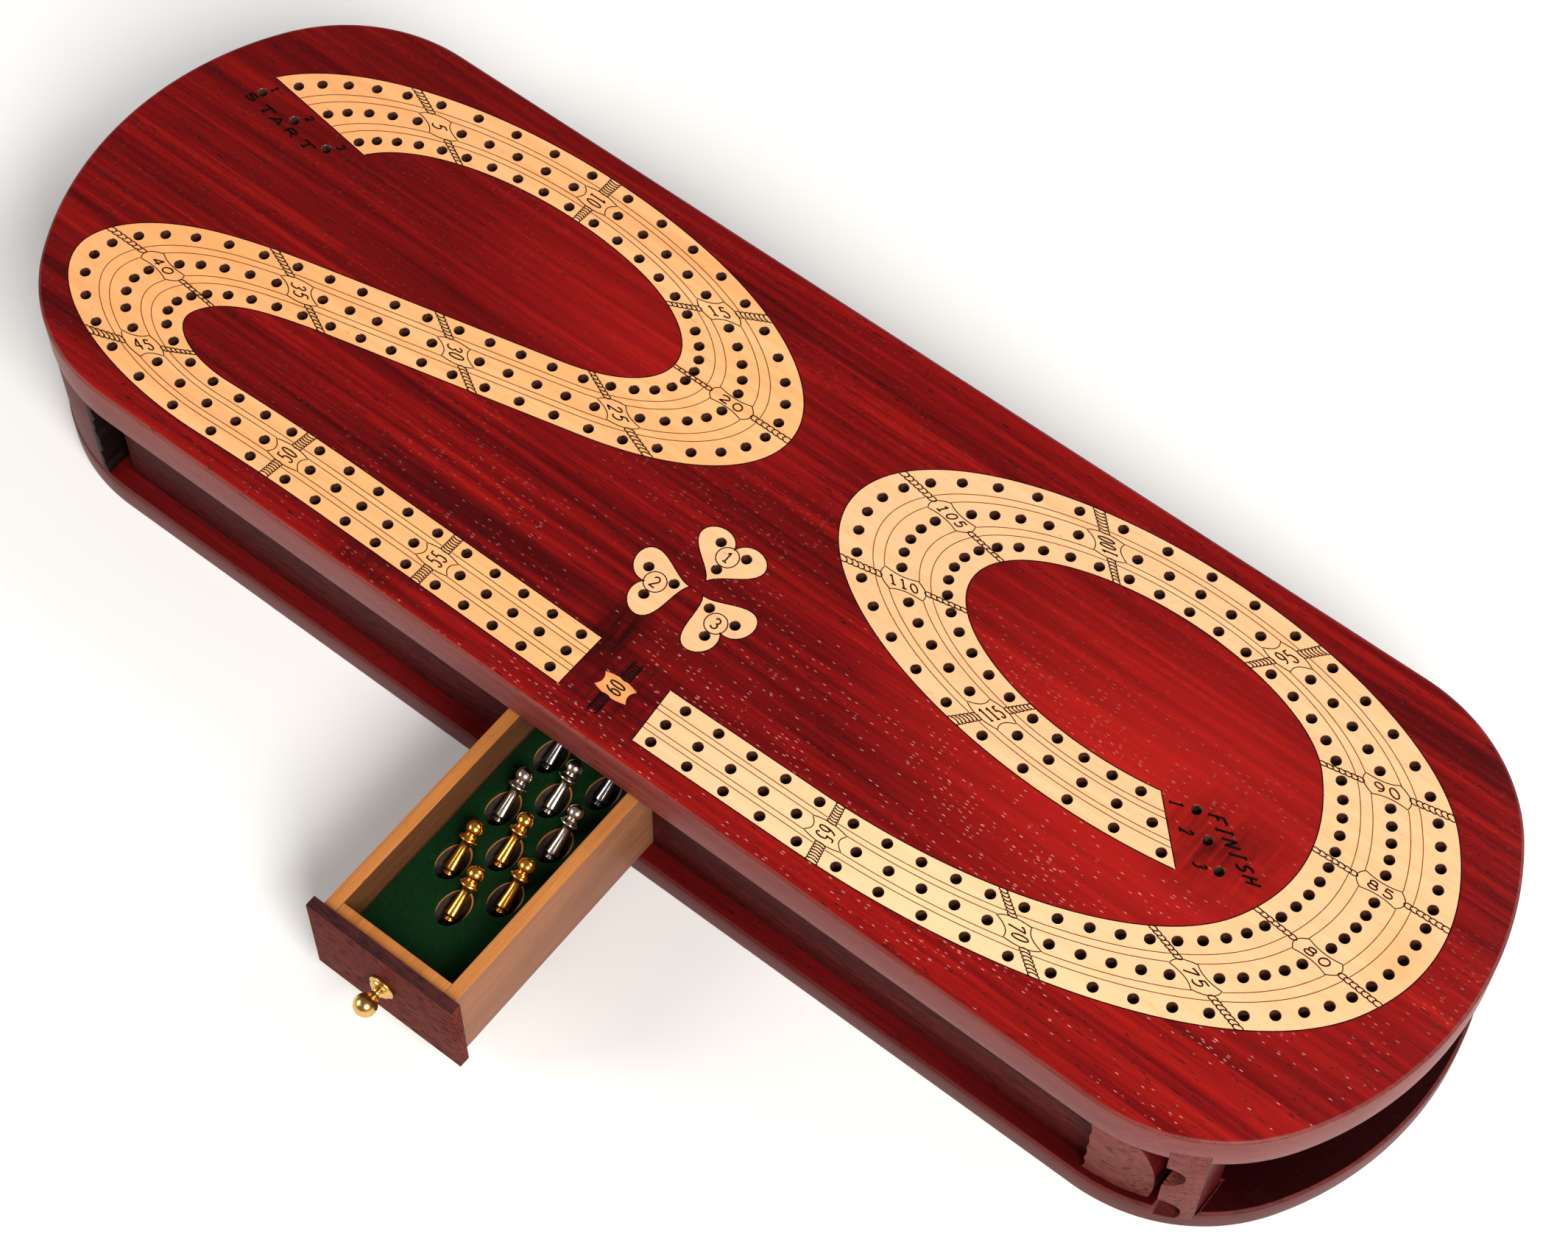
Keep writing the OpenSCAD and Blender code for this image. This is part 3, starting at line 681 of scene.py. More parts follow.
# Painted shade: a darker copy of the drawer wood for the inner face of the left side.
BOX_INSIDE_SHADE = wood("drawer_inside_painted_shade", (0.07, 0.024, 0.008), (0.11, 0.042, 0.016), (0.15, 0.062, 0.026), "Y",
                  fibres=0.35, pores=0.3, pore_colour=(0.04, 0.014, 0.005), shift=(4, 6, 4))
RAIL = wood("rail_wood", (0.025, 0.003, 0.003), (0.062, 0.006, 0.006), (0.11, 0.014, 0.012),
            pores=0.9, specular=0.06, shift=(8, 3, 1))
ROUGH_EDGE = wood("drawer_front_top_edge", (0.02, 0.003, 0.003), (0.05, 0.008, 0.008), (0.09, 0.016, 0.015),
                  pores=1.2, roughness=0.6, shift=(1, 1, 8))
BOX_EDGE = wood("drawer_top_edge", (0.34, 0.11, 0.022), (0.44, 0.155, 0.036), (0.52, 0.205, 0.055), axis="Y",
                pores=-0.15, pore_colour=(0.2, 0.07, 0.02), fibres=0.4, shift=(4, 5, 4))
PLAIN = wood("plain_wood", (0.28, 0.13, 0.05), (0.4, 0.2, 0.09), (0.48, 0.27, 0.13),
             pores=0.1, pore_colour=(0.2, 0.1, 0.04), roughness=0.6, shift=(6, 1, 1))


def hole_wall():
    """Painted shade inside a peg hole: dark brown, mottled."""
    paint = Paint("hole_wall", Coat_Weight=0.2)
    tone = paint.noise((900, 900, 900), 3)
    return paint.finish(paint.ramp(tone, (0.3, (0.02, 0.007, 0.005)), (0.7, (0.13, 0.045, 0.025))),
                        paint.grey(tone, (0.3, 0.3), (0.7, 0.5)), tone, 0.0001, 0.6)


def burnt(name, dark, light):
    paint = Paint(name, Roughness=0.75, Specular_IOR_Level=0.05)
    tone = paint.noise((700, 700, 700), 3)
    return paint.finish(paint.ramp(tone, (0.35, dark), (0.65, light)), None, tone, 0.00005, 0.5)


HOLE = hole_wall()
LINE_INK = burnt("burnt_line", (0.11, 0.032, 0.01), (0.19, 0.06, 0.02))
DARK_INK = burnt("burnt_mark", (0.008, 0.003, 0.002), (0.028, 0.01, 0.005))
# Also used for the painted shade round the inlays.
SOOT_AND_GAP_SHADE = burnt("burnt_letter_and_gap_shade", (0.0025, 0.0012, 0.0012), (0.009, 0.003, 0.002))


def metal(name, base, roughness, wear):
    paint = Paint(name, Metallic=1.0)
    tone = paint.noise((260, 260, 260), 4)
    fine = paint.noise((2600, 2600, 2600), 3)
    colour = paint.mix(paint.grey(tone, (0.35, 0), (0.75, wear)), base, tuple(c * 0.55 for c in base))
    gloss = paint.grey(fine, (0.3, roughness * 0.75), (0.7, roughness * 1.35))
    return paint.finish(colour, gloss, fine, 0.00001, 0.3)


GOLD = metal("gold_plate", (0.92, 0.42, 0.07), 0.2, 0.3)
SILVER = metal("polished_chrome", (0.66, 0.58, 0.5), 0.18, 0.3)
DARK_METAL = metal("dark_nickel", (0.3, 0.29, 0.3), 0.16, 0.3)
BRASS = metal("turned_brass", (0.72, 0.43, 0.13), 0.24, 0.45)
STEEL = metal("screw_steel", (0.5, 0.5, 0.5), 0.32, 0.4)


def felt_cloth():
    paint = Paint("green_felt", Sheen_Weight=0.1, Sheen_Roughness=0.5, Sheen_Tint=(0.15, 0.6, 0.3, 1),
                  Roughness=0.95, Specular_IOR_Level=0.05)
    fibre = paint.noise((1500, 1500, 1500), 6, 0.7, 2.0)
    cloud = paint.noise((90, 90, 90), 4)
    colour = paint.ramp(fibre, (0.3, (0.001, 0.008, 0.002)), (0.55, (0.003, 0.022, 0.0045)),
                        (0.75, (0.009, 0.05, 0.012)))
    colour = paint.mix(0.4, colour, paint.grey(cloud, (0.3, 0.55), (0.7, 1.0)), "MULTIPLY")
    return paint.finish(colour, None, fibre, 0.0004, 0.8)


FELT_CLOTH = felt_cloth()


def nest_wall():
    """Inside a nest: near black, painted shade of the slanting bore, with paler patches of the wood at
    random.
    """
    paint = Paint("nest_wall", Roughness=0.8)
    tone = paint.noise((260, 260, 420), 4)
    return paint.finish(paint.ramp(tone, (0.35, (0.006, 0.004, 0.003)), (0.7, (0.05, 0.028, 0.016))),
                        None, tone, 0.0003, 0.6)


NEST = nest_wall()


# -------- plates and inlays
def plate(flipped, face_z, thickness, notch_at):
    """A plate with its unnotched face at face_z; returns the solid and the rings of both faces."""
    solid = Solid(flipped)
    down = 1 if flipped else -1
    rings = [solid.ring(plate_outline(inset)[0], face_z + down * drop) for inset, drop in plate_easing()]
    outline, notches = plate_outline()
    full = solid.ring(outline, face_z + down * notch_at)
    for upper, lower in zip(rings, rings[1:] + [full]):
        solid.wall(upper, lower, slot=1)
    step, shape, first = [], [], 0
    for n, (start, end) in enumerate(notches):
        corners = notch_corners(n)
        inner = solid.ring(corners, face_z + down * notch_at)
        step += full[first:start + 1] + inner
        shape += outline[first:start + 1] + corners
        solid.face((full[start:end + 1] + inner[::-1])[::-1], 1)
        first = end
    step += full[first:]
    shape += outline[first:]
    above = step
    for inset, drop in plate_easing()[::-1]:
        below = solid.ring(shrink(shape, inset), face_z + down * (thickness - drop))
        solid.wall(above, below, slot=1)
        above = below
    return solid, rings[0], above


def build_top_plate():
    solid, face, under = plate(False, Z, Z - plate_z, HOLE_DEPTH)
    holes = [solid.peg_hole(c, 2, HOLE_DEPTH) for c in row_of_three(START_HOLES) + row_of_three(FINISH_HOLES)]
    openings = [rim for rim, _ in holes]
    for outline, centres in INLAYS:
        mouth, floor = solid.ring(outline, Z), solid.ring(outline, Z - INLAY)
        solid.wall(mouth, floor, inward=True)
        shaft = ((HOLE_RADIUS, Z - INLAY), (HOLE_RADIUS, Z - HOLE_DEPTH))
        shafts = [solid.hole(c, shaft, 2) for c in centres]
        solid.cap(floor, [top for top, _ in shafts])
        openings.append(mouth)
        holes += shafts
    for _, bottom in holes:
        solid.face(bottom, 2)
    solid.cap(face, openings)
    solid.cap(under, up=False, slot=3)
    solid.build("top_plate_wood", [RED, RED_SIDE_SHEEN, HOLE, DARK_RED], "board", "red_wood", "top_plate")


def build_inlay(name, outline, centres, material, slot_name, node):
    solid = Solid()
    top, bottom = solid.ring(outline, Z), solid.ring(outline, Z - INLAY)
    solid.wall(top, bottom)
    holes = [solid.peg_hole(c, 1, INLAY) for c in centres]
    solid.cap(top, [rim for rim, _ in holes])
    solid.cap(bottom, [end for _, end in holes], up=False)
    solid.build(name, [material, HOLE], "board", slot_name, node)


def build_base_plate():
    solid, under, top = plate(True, 0, base_thickness, base_thickness - BASE_NOTCH)
    holes = [solid.hole((x, y), SCREW_HOLE, 1, SCREW_SIDES) for x in SCREW_X for y in (-SCREW_Y, SCREW_Y)]
    solid.cap(under, [mouth for mouth, _ in holes])
    solid.cap(top, [end for _, end in holes], up=False)
    solid.build("base_plate_wood", [BASE_RED, BASE_SIDE_SHEEN], "board", "dark_red_wood", "base_plate")


sixty = [(SIXTY_CENTRE[0] + x, SIXTY_CENTRE[1] + y) for x, y in shield_outline(*SIXTY_SHIELD)]
INLAYS = [(band_outline(TWO), track_holes(TWO)), (band_outline(NINE), track_holes(NINE)), (sixty, [])]
INLAYS += [(heart_outline(n), heart_holes(n)) for n in range(3)]

build_top_plate()
build_base_plate()
build_inlay("track_two_maple", *INLAYS[0], WARM_MAPLE, "maple", "track_inlay_two")
build_inlay("track_nine_maple", *INLAYS[1], MAPLE, "maple", "track_inlay_nine")
build_inlay("sixty_maple", *INLAYS[2], ORANGE_MAPLE, "orange_maple", "sixty_inlay")
for n, word in enumerate(("one", "two", "three")):
    build_inlay(f"heart_{word}_maple", *INLAYS[3 + n], MAPLE, "maple", f"heart_inlay_{word}")


# -------- burnt lines, shields and figures, and painted shade round the inlays
# Offsets from the centre line, gaps at the dividers, and half widths of the strokes
INNER_LINE = 2.45
OUTER_LINE = 4.05
SHIELD_GAP = 2.45
BRAID_GAP = 0.75
END_GAP = 0.05
BRAID_START = 3.2
LINK_PITCH = 0.85
LANE_STROKE = 0.13
SHIELD_STROKE = 0.15
RING_STROKE = 0.17
BRAID_STROKE = 0.18
FIGURE_STROKE = 0.23
CURVE_STEP = 20
INK_RISE = 0.012
INK_LAYERS = 7
INK_LAYER = 0.0023
START_TILT = -14
FINISH_TILT = -51


def curve(cx, cy, rx, ry, a0, a1):
    n = max(3, ceil(abs(a1 - a0) / CURVE_STEP))
    angles = [radians(a0 + (a1 - a0) * i / n) for i in range(n + 1)]
    return [(cx + rx * cos(a), cy + ry * sin(a)) for a in angles]


SIX = [curve(0.3, 0.31, 0.26, 0.31, 0, 360), curve(0.52, 0.33, 0.48, 0.65, 95, 178)]
GLYPHS = {
    "0": [curve(0.3, 0.5, 0.27, 0.5, 90, 450)],
    "1": [[(0.1, 0.78), (0.29, 1), (0.29, 0)], [(0.1, 0), (0.48, 0)]],
    "2": [curve(0.3, 0.72, 0.25, 0.28, 165, -40) + [(0.05, 0), (0.57, 0)]],
    "3": [curve(0.28, 0.75, 0.24, 0.25, 155, -85), curve(0.28, 0.27, 0.27, 0.26, 85, -155)],
    "4": [[(0.42, 0), (0.42, 1), (0.04, 0.3), (0.58, 0.3)]],
    "5": [[(0.52, 1), (0.14, 1), (0.1, 0.56)] + curve(0.28, 0.32, 0.27, 0.32, 120, -150)],
    "6": SIX,
    "7": [[(0.05, 0.86), (0.05, 1), (0.56, 1), (0.22, 0)]],
    "8": [curve(0.3, 0.75, 0.21, 0.25, 0, 360), curve(0.3, 0.26, 0.27, 0.26, 0, 360)],
    "9": [[(0.6 - x, 1 - y) for x, y in line] for line in SIX],
    "S": [curve(0.3, 0.75, 0.24, 0.25, 30, 250) + curve(0.3, 0.25, 0.26, 0.25, 70, -150)],
    "T": [[(0, 0.85), (0, 1), (0.64, 1), (0.64, 0.85)], [(0.32, 1), (0.32, 0)], [(0.2, 0), (0.44, 0)]],
    "A": [[(0, 0), (0.32, 1), (0.62, 0)], [(0.1, 0.34), (0.52, 0.34)]],
    "R": [[(0.06, 0), (0.06, 1)] + curve(0.3, 0.75, 0.24, 0.25, 90, -90) + [(0.06, 0.5)],
          [(0.28, 0.5), (0.6, 0)]],
    "F": [[(0.06, 0), (0.06, 1), (0.58, 1), (0.58, 0.86)], [(0.06, 0.53), (0.42, 0.53)]],
    "I": [[(0.3, 0), (0.3, 1)], [(0.16, 0), (0.44, 0)], [(0.16, 1), (0.44, 1)]],
    "N": [[(0.04, 0), (0.04, 1), (0.56, 0), (0.56, 1)]],
    "H": [[(0.05, 0), (0.05, 1)], [(0.55, 0), (0.55, 1)], [(0.05, 0.5), (0.55, 0.5)]],
}


def dense(line, step):
    points = [line[0]]
    for (x0, y0), (x1, y1) in zip(line, line[1:]):
        n = max(1, ceil(hypot(x1 - x0, y1 - y0) / step))
        points += [(x0 + (x1 - x0) * i / n, y0 + (y1 - y0) * i / n) for i in range(1, n + 1)]
    return points


class Ink:
    """Strokes of one colour, for burnt marks and for painted shade round the inlays, at slightly different
    heights so that crossing ones don't coincide.
    """

    def __init__(self):
        self.solid = Solid()
        self.count = 0

    def line(self, points, half, closed=False):
        self.count += 1
        self.solid.stroke(points, half, Z + INK_RISE + INK_LAYER * (self.count % INK_LAYERS), closed)

    def write(self, text, at, height, width, pitch, half):
        """Figures centred on at(0, 0), where at(right, up) gives a place on the board."""
        for n, letter in enumerate(text):
            middle = (n - (len(text) - 1) / 2) * pitch
            for line in GLYPHS[letter]:
                self.line([at(middle + (x - 0.3) / 0.6 * width, (y - 0.5) * height)
                           for x, y in dense(line, 0.12)], half)

    def chain(self, at, length, half):
        """Links of a braid in a row; at(across, on) gives a place on the board."""
        n = round(length / LINK_PITCH)
        for i in range(n):
            middle = (i + 0.5) * length / n
            link = [at(0.68 * sin(a), middle - 0.62 * cos(a) * length / n / LINK_PITCH)
                    for a in np.radians(np.arange(-150, 151, 25))]
            self.line(link, half)

    def build(self, name, material):
        self.solid.build(name, [material], "board", None)


def turned(origin, degrees, squash=STRETCH):
    """Text frame about a board position, turned in the unstretched drawing."""
    c, s = cos(radians(degrees)), sin(radians(degrees))
    return lambda u, v: (origin[0] + squash * (u * c - v * s), origin[1] + u * s + v * c)


lines, marks_ink, letters, gap_shade_ink = Ink(), Ink(), Ink(), Ink()


def divider_tilt(track, k):
    return track["lean"][k] + track["fan"][k - 1] / 2


def lane_lines(track):
    """Two fine lines either side of the middle lane, broken at the shields and at the braids."""
    marks = bounds_of_groups(track)

    def run(a, b, offset):
        n = max(2, ceil((b - a) / 0.9))
        lines.line([spot(track, a + (b - a) * i / n, offset) for i in range(n + 1)], LANE_STROKE)

    for k in range(GROUPS):
        for side in (-1, 1):
            run(marks[k] + (SHIELD_GAP if k else END_GAP),
                marks[k + 1] - (SHIELD_GAP if k < GROUPS - 1 else END_GAP), side * INNER_LINE)
            ends = []
            for end, gap in ((k, BRAID_GAP), (k + 1, -BRAID_GAP)):
                ends.append(marks[end])
                if 0 < end < GROUPS:
                    ends[-1] += divider_tilt(track, end) * side * OUTER_LINE + gap
            run(*ends, side * OUTER_LINE)


def dividers(track, step, last_upright):
    """A shield with its number, and a braid on each side of it, between every two groups."""
    marks = bounds_of_groups(track)
    shield = shield_outline(*DIVIDER_SHIELD)
    for k in range(1, GROUPS):
        marks_ink.line([spot(track, marks[k] + x, y) for x, y in shield], SHIELD_STROKE, closed=True)
        for side in (-1, 1):
            def link(across, on, side=side, k=k):
                offset = side * (BRAID_START + on)
                return spot(track, marks[k] + divider_tilt(track, k) * offset + across, offset)
            marks_ink.chain(link, BAND_HALF - BRAID_START, BRAID_STROKE)
        way = 1 if k <= last_upright else -1
        text = str(60 + step * k)
        width, pitch = (1.05, 1.5) if len(text) == 3 else (1.35, 1.95)
        marks_ink.write(text, lambda u, v, k=k, way=way: spot(track, marks[k] + way * v, -way * u),
                        2.2, width, pitch, FIGURE_STROKE)


for track, step, last_upright in ((TWO, -5, 9), (NINE, 5, 8)):
    lane_lines(track)
    dividers(track, step, last_upright)

marks_ink.write("60", lambda u, v: (2.35 - STRETCH * v, SIXTY_CENTRE[1] + u), 2.05, 1.4, 1.95, 0.25)
letters.chain(lambda across, on: (2.75 + STRETCH * across, -55.9 + on), 5.9, 0.27)
letters.chain(lambda across, on: (1.8 + STRETCH * across, -62.6 - on), 5.8, 0.27)
for n, (text, shift) in enumerate((("1", 0.1), ("2", 0), ("3", 0))):
    x, y = heart_spot(n, (0, HEART_MIDDLE))
    ring = [(x + 3.2 * cos(a), y + 3.2 * sin(a)) for a in np.radians(range(0, 360, 8))]
    marks_ink.line(ring, RING_STROKE, closed=True)
    marks_ink.write(text, turned((x + shift, y + shift), 0, 1), 3.3, 2.1, 2, 0.24)

START_LETTERS = ((-205, 26.8), (-198.5, 26), (-193.5, 24.9), (-187.5, 24.2), (-181, 23.6))
for letter, centre in zip("START", START_LETTERS):
    letters.write(letter, turned(centre, START_TILT), 2.2, 1.7, 0, 0.36)
for figure, centre in zip("123", ((-201.5, 33), (-186.5, 31.2), (-172.5, 29))):
    letters.write(figure, turned(centre, START_TILT), 1.8, 0.8, 0, 0.3)
letters.write("FINISH", turned((156.7, 2.6), FINISH_TILT), 2.2, 1.5, 2.35, 0.36)
for figure, centre in zip("123", ((137.5, 4.3), (144, -0.7), (152.3, -6.6))):
    letters.write(figure, turned(centre, FINISH_TILT), 1.9, 0.9, 0, 0.3)

# A dark line round every inlay but the sixty: painted shade of the gap where inlay meets plate.
for outline, _ in INLAYS:
    if outline is not sixty:
        gap_shade_ink.line(dense(outline + outline[:1], 1.2)[:-1], RING_STROKE, closed=True)
lines.build("burnt_lane_lines", LINE_INK)
marks_ink.build("burnt_shields_and_figures", DARK_INK)
letters.build("burnt_letters", SOOT_AND_GAP_SHADE)
gap_shade_ink.build("inlay_glue_lines", SOOT_AND_GAP_SHADE)


# -------- rails, posts, tray and drawer boards
def soften(node, materials, slot_name, width=0.4, body="board", slots=None):
    """A piece made from a CAD node's own shape, with eased edges."""
    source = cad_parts[node]
    bpy.context.view_layer.update()
    work = bmesh.new()
    work.from_mesh(source.data)
    work.transform(source.matrix_world)
    bmesh.ops.remove_doubles(work, verts=work.verts, dist=1e-6)
    bmesh.ops.dissolve_limit(work, angle_limit=radians(0.3), verts=work.verts, edges=work.edges)
    sharp = [e for e in work.edges if len(e.link_faces) == 2 and e.calc_face_angle(0) > radians(30)]
    bmesh.ops.bevel(work, geom=sharp, offset=width * MM, offset_type="OFFSET", segments=2, profile=0.6,
                    affect="EDGES", clamp_overlap=True)
    mesh = bpy.data.meshes.new(node)
    for face in work.faces:
        face.smooth = True
        face.material_index = slots(face) if slots else 0
    work.to_mesh(mesh)
    work.free()
    for m in materials:
        mesh.materials.append(m)
    mesh.set_sharp_from_angle(angle=radians(35))
    place(f"{node}_wood", mesh, body, slot_name, node)


for node in ("front_rail_left", "front_rail_right", "back_rail"):
    soften(node, [RAIL], "dark_red_wood", 0.6)
for node in ("chamber_wall_left", "chamber_wall_right"):
    soften(node, [DARK_RED], "dark_red_wood")
for node in ("drawer_guide_left", "drawer_guide_right", "drawer_stop"):
    soften(node, [PLAIN], "plain_wood")
for node in ("leaf_post_front", "leaf_post_back", "catch_post_front", "catch_post_back"):
    # Faces towards +X take the darker red wood: the darker end grain, deepened with painted shade.
    soften(node, [ROSE, DARK_RED], "rose_wood", 0.3, slots=lambda face: int(face.normal.x > 0.6))
soften("tray_end_cover", [ROSE_END], "rose_wood", 0.3, "card_tray")
for node in ("tray_floor", "tray_fence_front", "tray_fence_back"):
    soften(node, [PLAIN], "plain_wood", body="card_tray")


BOX_TOP = 39.5


def box_slots(face):
    """The upper edges are a lighter, more orange cut than the sides; the inner face of the left side is
    darkened with painted shade.
    """
    middle = face.calc_center_median()
    if face.normal.z > 0.5 and middle.z > BOX_TOP * MM:
        return 1
    return 2 if face.normal.x > 0.5 and middle.x < -10 * MM else 0


soften("drawer_front", [PURPLE, ROUGH_EDGE], "dark_red_wood", 0.5, "drawer",
       lambda face: int(face.normal.z > 0.5))
for node, material in (("drawer_side_left", BOX_WOOD), ("drawer_side_right", BOX_WOOD),
                       ("drawer_inner_front", BOX_WOOD_X), ("drawer_back", BOX_WOOD_X),
                       ("drawer_bottom", BOX_WOOD)):
    soften(node, [material, BOX_EDGE, BOX_INSIDE_SHADE], "drawer_wood", 0.25, "drawer", box_slots)


# -------- peg block, felt, pegs and knob
BLOCK_X = 18.3
BLOCK_Y = (-145.0, -38.4)
BLOCK_Z = (12.4, 27.5)
FELT_TOP = 28.3
FELT_MARGIN = 0.35
FELT_GRID = (2.1, 2.04)
NEST_CLEAR = (5.3, 7.6)
NEST_RADIUS = 3.85
NEST_SLOPE = radians(40)
NEST_REACH = 12.4
NEST_SIDES = 40
NEST_Y = -123.9
NEST_ROW = (0, -9, 9)
NEST_PITCH = 20.25
NESTS = [(x, NEST_Y + (n + (0.5 if x else 0)) * NEST_PITCH) for n in range(4) for x in NEST_ROW]


def block_ring(inset, step):
    x, (y0, y1) = BLOCK_X - inset, BLOCK_Y
    corners = [(-x, y0 + inset), (x, y0 + inset), (x, y1 - inset), (-x, y1 - inset), (-x, y0 + inset)]
    return dense(corners, step)[:-1]


def nest_ring(centre, z, grow=0.0):
    """Where a slanting nest, grown a little, meets a level plane."""
    shift = (z - FELT_TOP) / tan(NEST_SLOPE)
    r = NEST_RADIUS + grow
    return [(centre[0] + r * cos(a), centre[1] + shift + r / sin(NEST_SLOPE) * sin(a))
            for a in full_turn(NEST_SIDES)]


def nest_end(centre, reach, scale):
    """A ring square to the nest's axis, reach down it from the felt."""
    points = []
    for a in full_turn(NEST_SIDES):
        u = scale * NEST_RADIUS * sin(a)
        points.append((centre[0] + scale * NEST_RADIUS * cos(a),
                       centre[1] - reach * cos(NEST_SLOPE) + u * sin(NEST_SLOPE),
                       FELT_TOP - reach * sin(NEST_SLOPE) - u * cos(NEST_SLOPE)))
    return points


def build_block():
    solid = Solid()
    outline = block_ring(0, 6)
    top, bottom = solid.ring(outline, BLOCK_Z[1]), solid.ring(outline, BLOCK_Z[0])
    solid.wall(top, bottom, slot=2)
    mouths = []
    for centre in NESTS:
        mouth = solid.ring(nest_ring(centre, BLOCK_Z[1]), BLOCK_Z[1])
        above = mouth
        for reach, scale in ((NEST_REACH - 0.8, 1), (NEST_REACH - 0.25, 0.93), (NEST_REACH, 0.75)):
            first = len(solid.points)
            solid.points.extend(nest_end(centre, reach, scale))
            below = list(range(first, len(solid.points)))
            solid.wall(above, below, inward=True, slot=1)
            above = below
        solid.face(list(above), 1, True)
        mouths.append(mouth)
    solid.cap(top, mouths)
    solid.cap(bottom, up=False, slot=2)
    solid.build("peg_block_wood", [BOX_EDGE, NEST, PLAIN], "drawer", "plain_wood", "peg_block")


def build_felt():
    """Felt laid on the block, cut out round the nests, its top faintly uneven."""
    solid = Solid()
    rng = random.Random(7)
    waves = [(rng.uniform(0.05, 0.3), rng.uniform(0.05, 0.2), rng.uniform(0, 6), rng.uniform(0.01, 0.025))
             for _ in range(6)]

    def height(x, y):
        return FELT_TOP - 0.03 + sum(d * sin(a * x + b * y + c) for a, b, c, d in waves)

    def folded(rings, foot, inward):
        made = [solid.ring(ring, [height(x, y) - drop for x, y in ring]) for ring, drop in rings]
        end = solid.ring(foot, BLOCK_Z[1])
        for above, below in zip(made, made[1:] + [end]):
            solid.wall(above, below, inward=inward)
        return made[0], end

    edge = [(FELT_MARGIN + inset, drop) for inset, drop in ((0.4, 0), (0.15, 0.1), (0.03, 0.3))]
    rim, foot = folded([(block_ring(inset, 2), drop) for inset, drop in edge],
                       block_ring(FELT_MARGIN, 2), False)
    mouths, feet = [], []
    for centre in NESTS:
        mouth, end = folded([(nest_ring(centre, FELT_TOP, grow), drop) for grow, drop in edge],
                            nest_ring(centre, BLOCK_Z[1], FELT_MARGIN), True)
        mouths.append(mouth)
        feet.append(end)
    grid = []
    for i in range(-8, 9):
        for j in range(52):
            x, y = i * FELT_GRID[0], BLOCK_Y[0] + 1.3 + j * FELT_GRID[1]
            if all(((x - c[0]) / NEST_CLEAR[0]) ** 2 + ((y - c[1]) / NEST_CLEAR[1]) ** 2 > 1 for c in NESTS):
                grid.append((x, y))
    inner = solid.ring(grid, [height(x, y) for x, y in grid])
    solid.cap(rim, mouths, inner=inner, smooth=True)
    solid.cap(foot, feet, up=False)
    felt = solid.build("peg_felt", [FELT_CLOTH], "drawer", "felt", "felt_pad")


def ball(radius, middle, a0, a1, n):
    return [(radius * cos(a), middle + radius * sin(a)) for a in np.radians(np.linspace(a0, a1, n))]


# Turned profiles, each from one end of the axis to the other: (radius, height) pairs
PEG = [(0, 2.45)] + ball(2.45, 0, 84, -45, 20)
PEG += [(1.74, -1.83), (1.74, -1.95), (1.8, -2.12), (1.93, -2.32), (2.12, -2.52), (2.35, -2.71),
        (2.58, -2.87), (2.76, -2.98), (2.85, -3.12), (2.87, -3.3), (2.85, -3.48), (2.76, -3.62),
        (2.5, -3.76), (2.1, -3.92), (1.8, -4.12), (1.6, -4.4), (1.48, -4.8), (1.41, -5.4), (1.41, -6.2),
        (1.45, -7), (1.52, -8), (1.62, -9), (1.73, -10), (1.85, -11), (1.96, -11.75), (2.02, -12.25),
        (2.03, -12.55), (1.98, -12.85), (1.84, -13.08), (1.4, -13.24), (1.32, -13.32), (1.32, -13.52),
        (1.42, -13.62), (1.66, -13.74), (1.75, -13.95), (1.75, -14.15), (1.62, -14.5), (1.32, -14.74),
        (1.2, -14.85), (1.15, -20.3)]
PEG += [(1.15 * cos(a), -20.3 + sin(a)) for a in np.radians((-20, -40, -60, -78))] + [(0, -21.3)]
PEG_SLOPE = radians(35)
PEG_TURN = Matrix.Rotation(PEG_SLOPE - pi / 2, 4, "X")
COLLAR_RADIUS = 2.85
COLLAR_FOOT = 3.5
PEG_REST = FELT_TOP + 0.12
BALL_HEIGHT = PEG_REST + COLLAR_FOOT * sin(PEG_SLOPE) + COLLAR_RADIUS * cos(PEG_SLOPE)
BALL_SHIFT = 8.65
SETS = (("gold", GOLD, (0, 1, 2, 3)), ("silver", SILVER, (4, 5, 6, 9)), ("dark", DARK_METAL, (7, 8, 10, 11)))

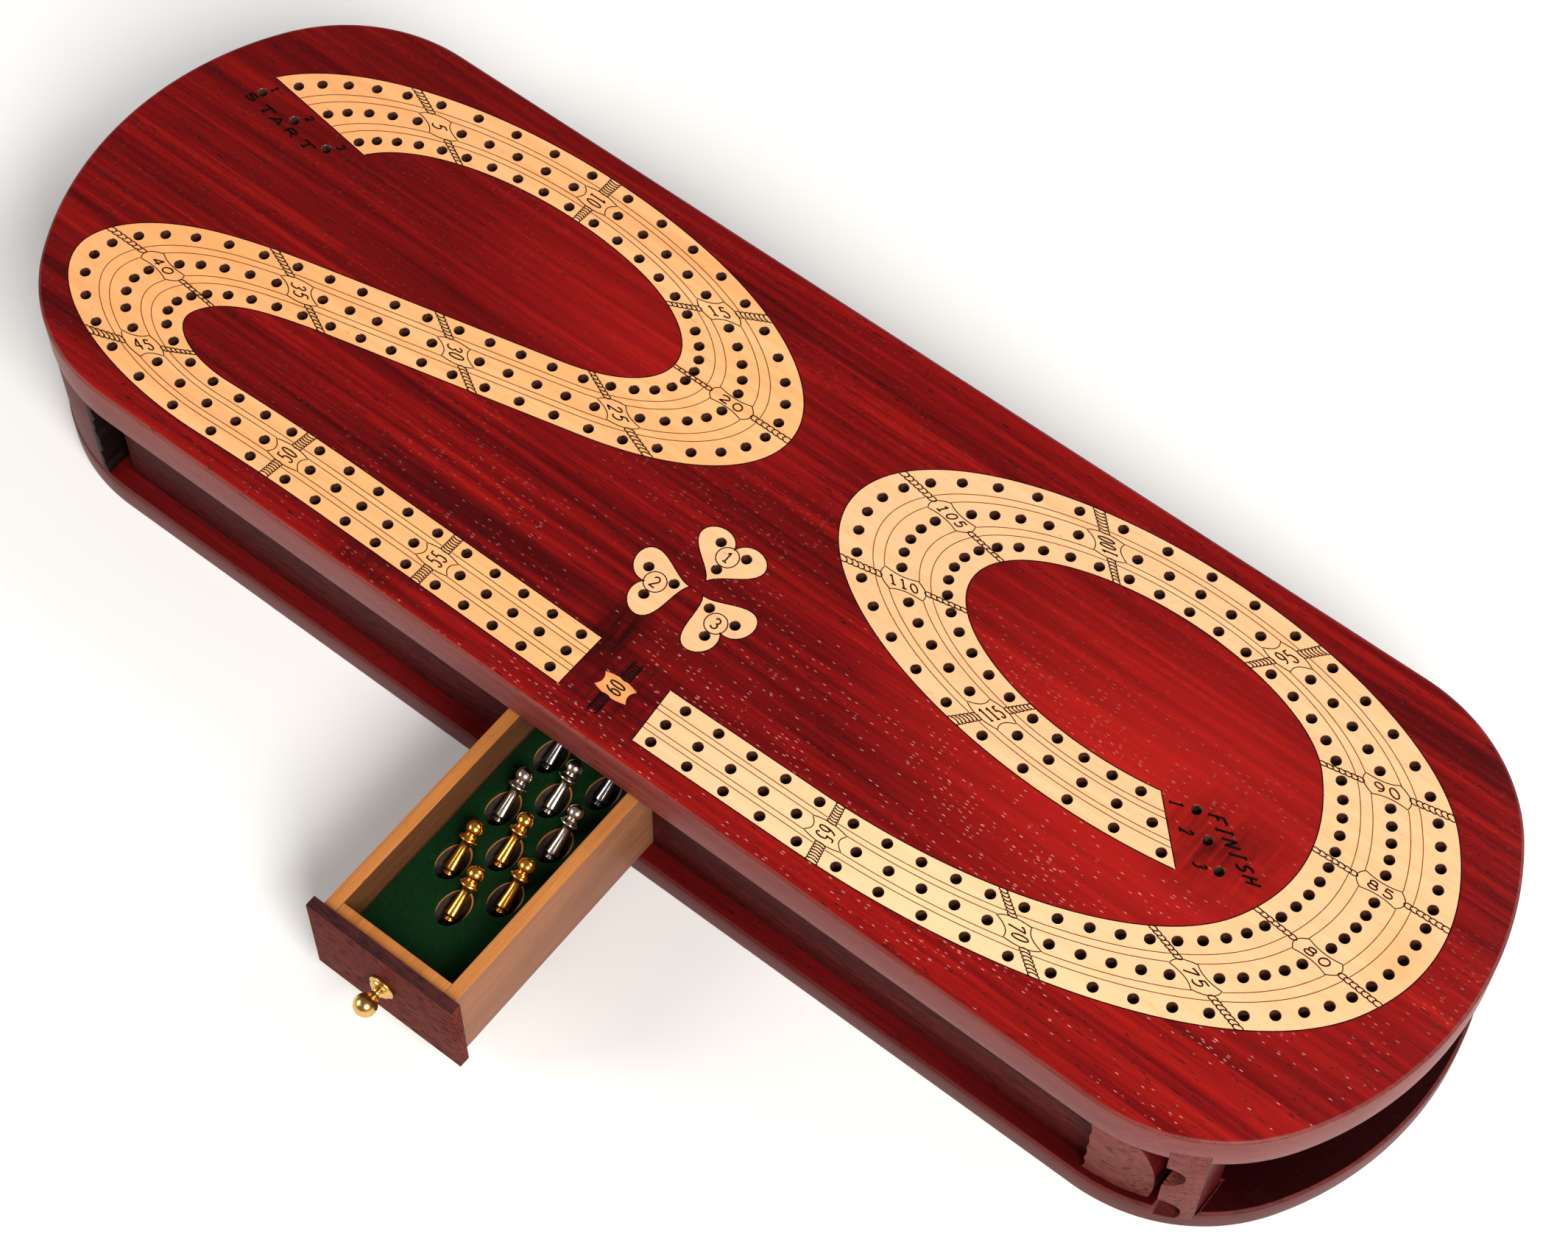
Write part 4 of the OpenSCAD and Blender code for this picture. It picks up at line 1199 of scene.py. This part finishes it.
build_block()
build_felt()
for colour, material, places in SETS:
    for n, i in enumerate(places, 1):
        solid = Solid()
        x, y = NESTS[i]
        solid.lathe(PEG, Matrix.Translation((x, y + BALL_SHIFT, BALL_HEIGHT)) @ PEG_TURN)
        solid.build(f"{colour}_peg_{n}_metal", [material], f"{colour}_peg_{n}_body", f"{colour}_metal",
                    f"{colour}_peg_{n}", sharp=50)

KNOB = [(0, 10.4)] + ball(3.3, 7.1, 84, -58, 22)
KNOB += [(1.85, 4.2), (1.83, 4.05), (1.6, 3.9), (1.5, 3.75), (1.48, 3.4), (1.5, 3.1), (1.65, 2.8),
         (1.95, 2.5), (2.3, 2.25), (2.8, 2.05), (3.1, 1.85), (3.22, 1.6), (3.3, 1.35), (3.6, 1.2),
         (3.9, 1.08), (4.02, 0.95), (4.05, 0.8), (4.05, 0.06), (3.98, 0), (1.05, 0), (1.05, 3), (0, 3)]
KNOB_PLACE = (0, -152.6, 27.1)
solid = Solid()
solid.lathe(KNOB, Matrix.Translation(KNOB_PLACE) @ Matrix.Rotation(radians(90), 4, "X"))
solid.build("drawer_knob_brass", [BRASS], "drawer", "brass", "drawer_knob", sharp=50)
for node, material in (("base_screws", BRASS), ("knob_screw", STEEL)):
    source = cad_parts[node]
    source.data.materials.clear()
    source.data.materials.append(material)

# -------- floor, lights and world
FLOOR_HALF = 6.0
floor_mesh = bpy.data.meshes.new("floor")
floor_corners = [(x * FLOOR_HALF, y * FLOOR_HALF, 0) for x, y in ((-1, -1), (1, -1), (1, 1), (-1, 1))]
floor_mesh.from_pydata(floor_corners, [], [(0, 1, 2, 3)])
floor = add("floor", floor_mesh)
floor_mesh.materials.append(Paint("floor", Base_Color=(0.86, 0.86, 0.86, 1), Roughness=0.9).material)

area_light("key", (1.25, -0.75, 1.35), (0.9, 0.9), 46, (1, 0.97, 0.92))
area_light("fill", (-1.2, -1.0, 1.0), (1.0, 0.8), 16, (1, 0.98, 0.95))
area_light("back", (1.1, 1.2, 1.3), (1.0, 0.8), 19, (1, 0.98, 0.95))
world = bpy.data.worlds.new("studio")
world.use_nodes = True
background = world.node_tree.nodes["Background"].inputs
background["Color"].default_value = (1, 1, 1, 1)
background["Strength"].default_value = 0.19
bpy.context.scene.world = world
bpy.context.scene.view_settings.view_transform = "Standard"
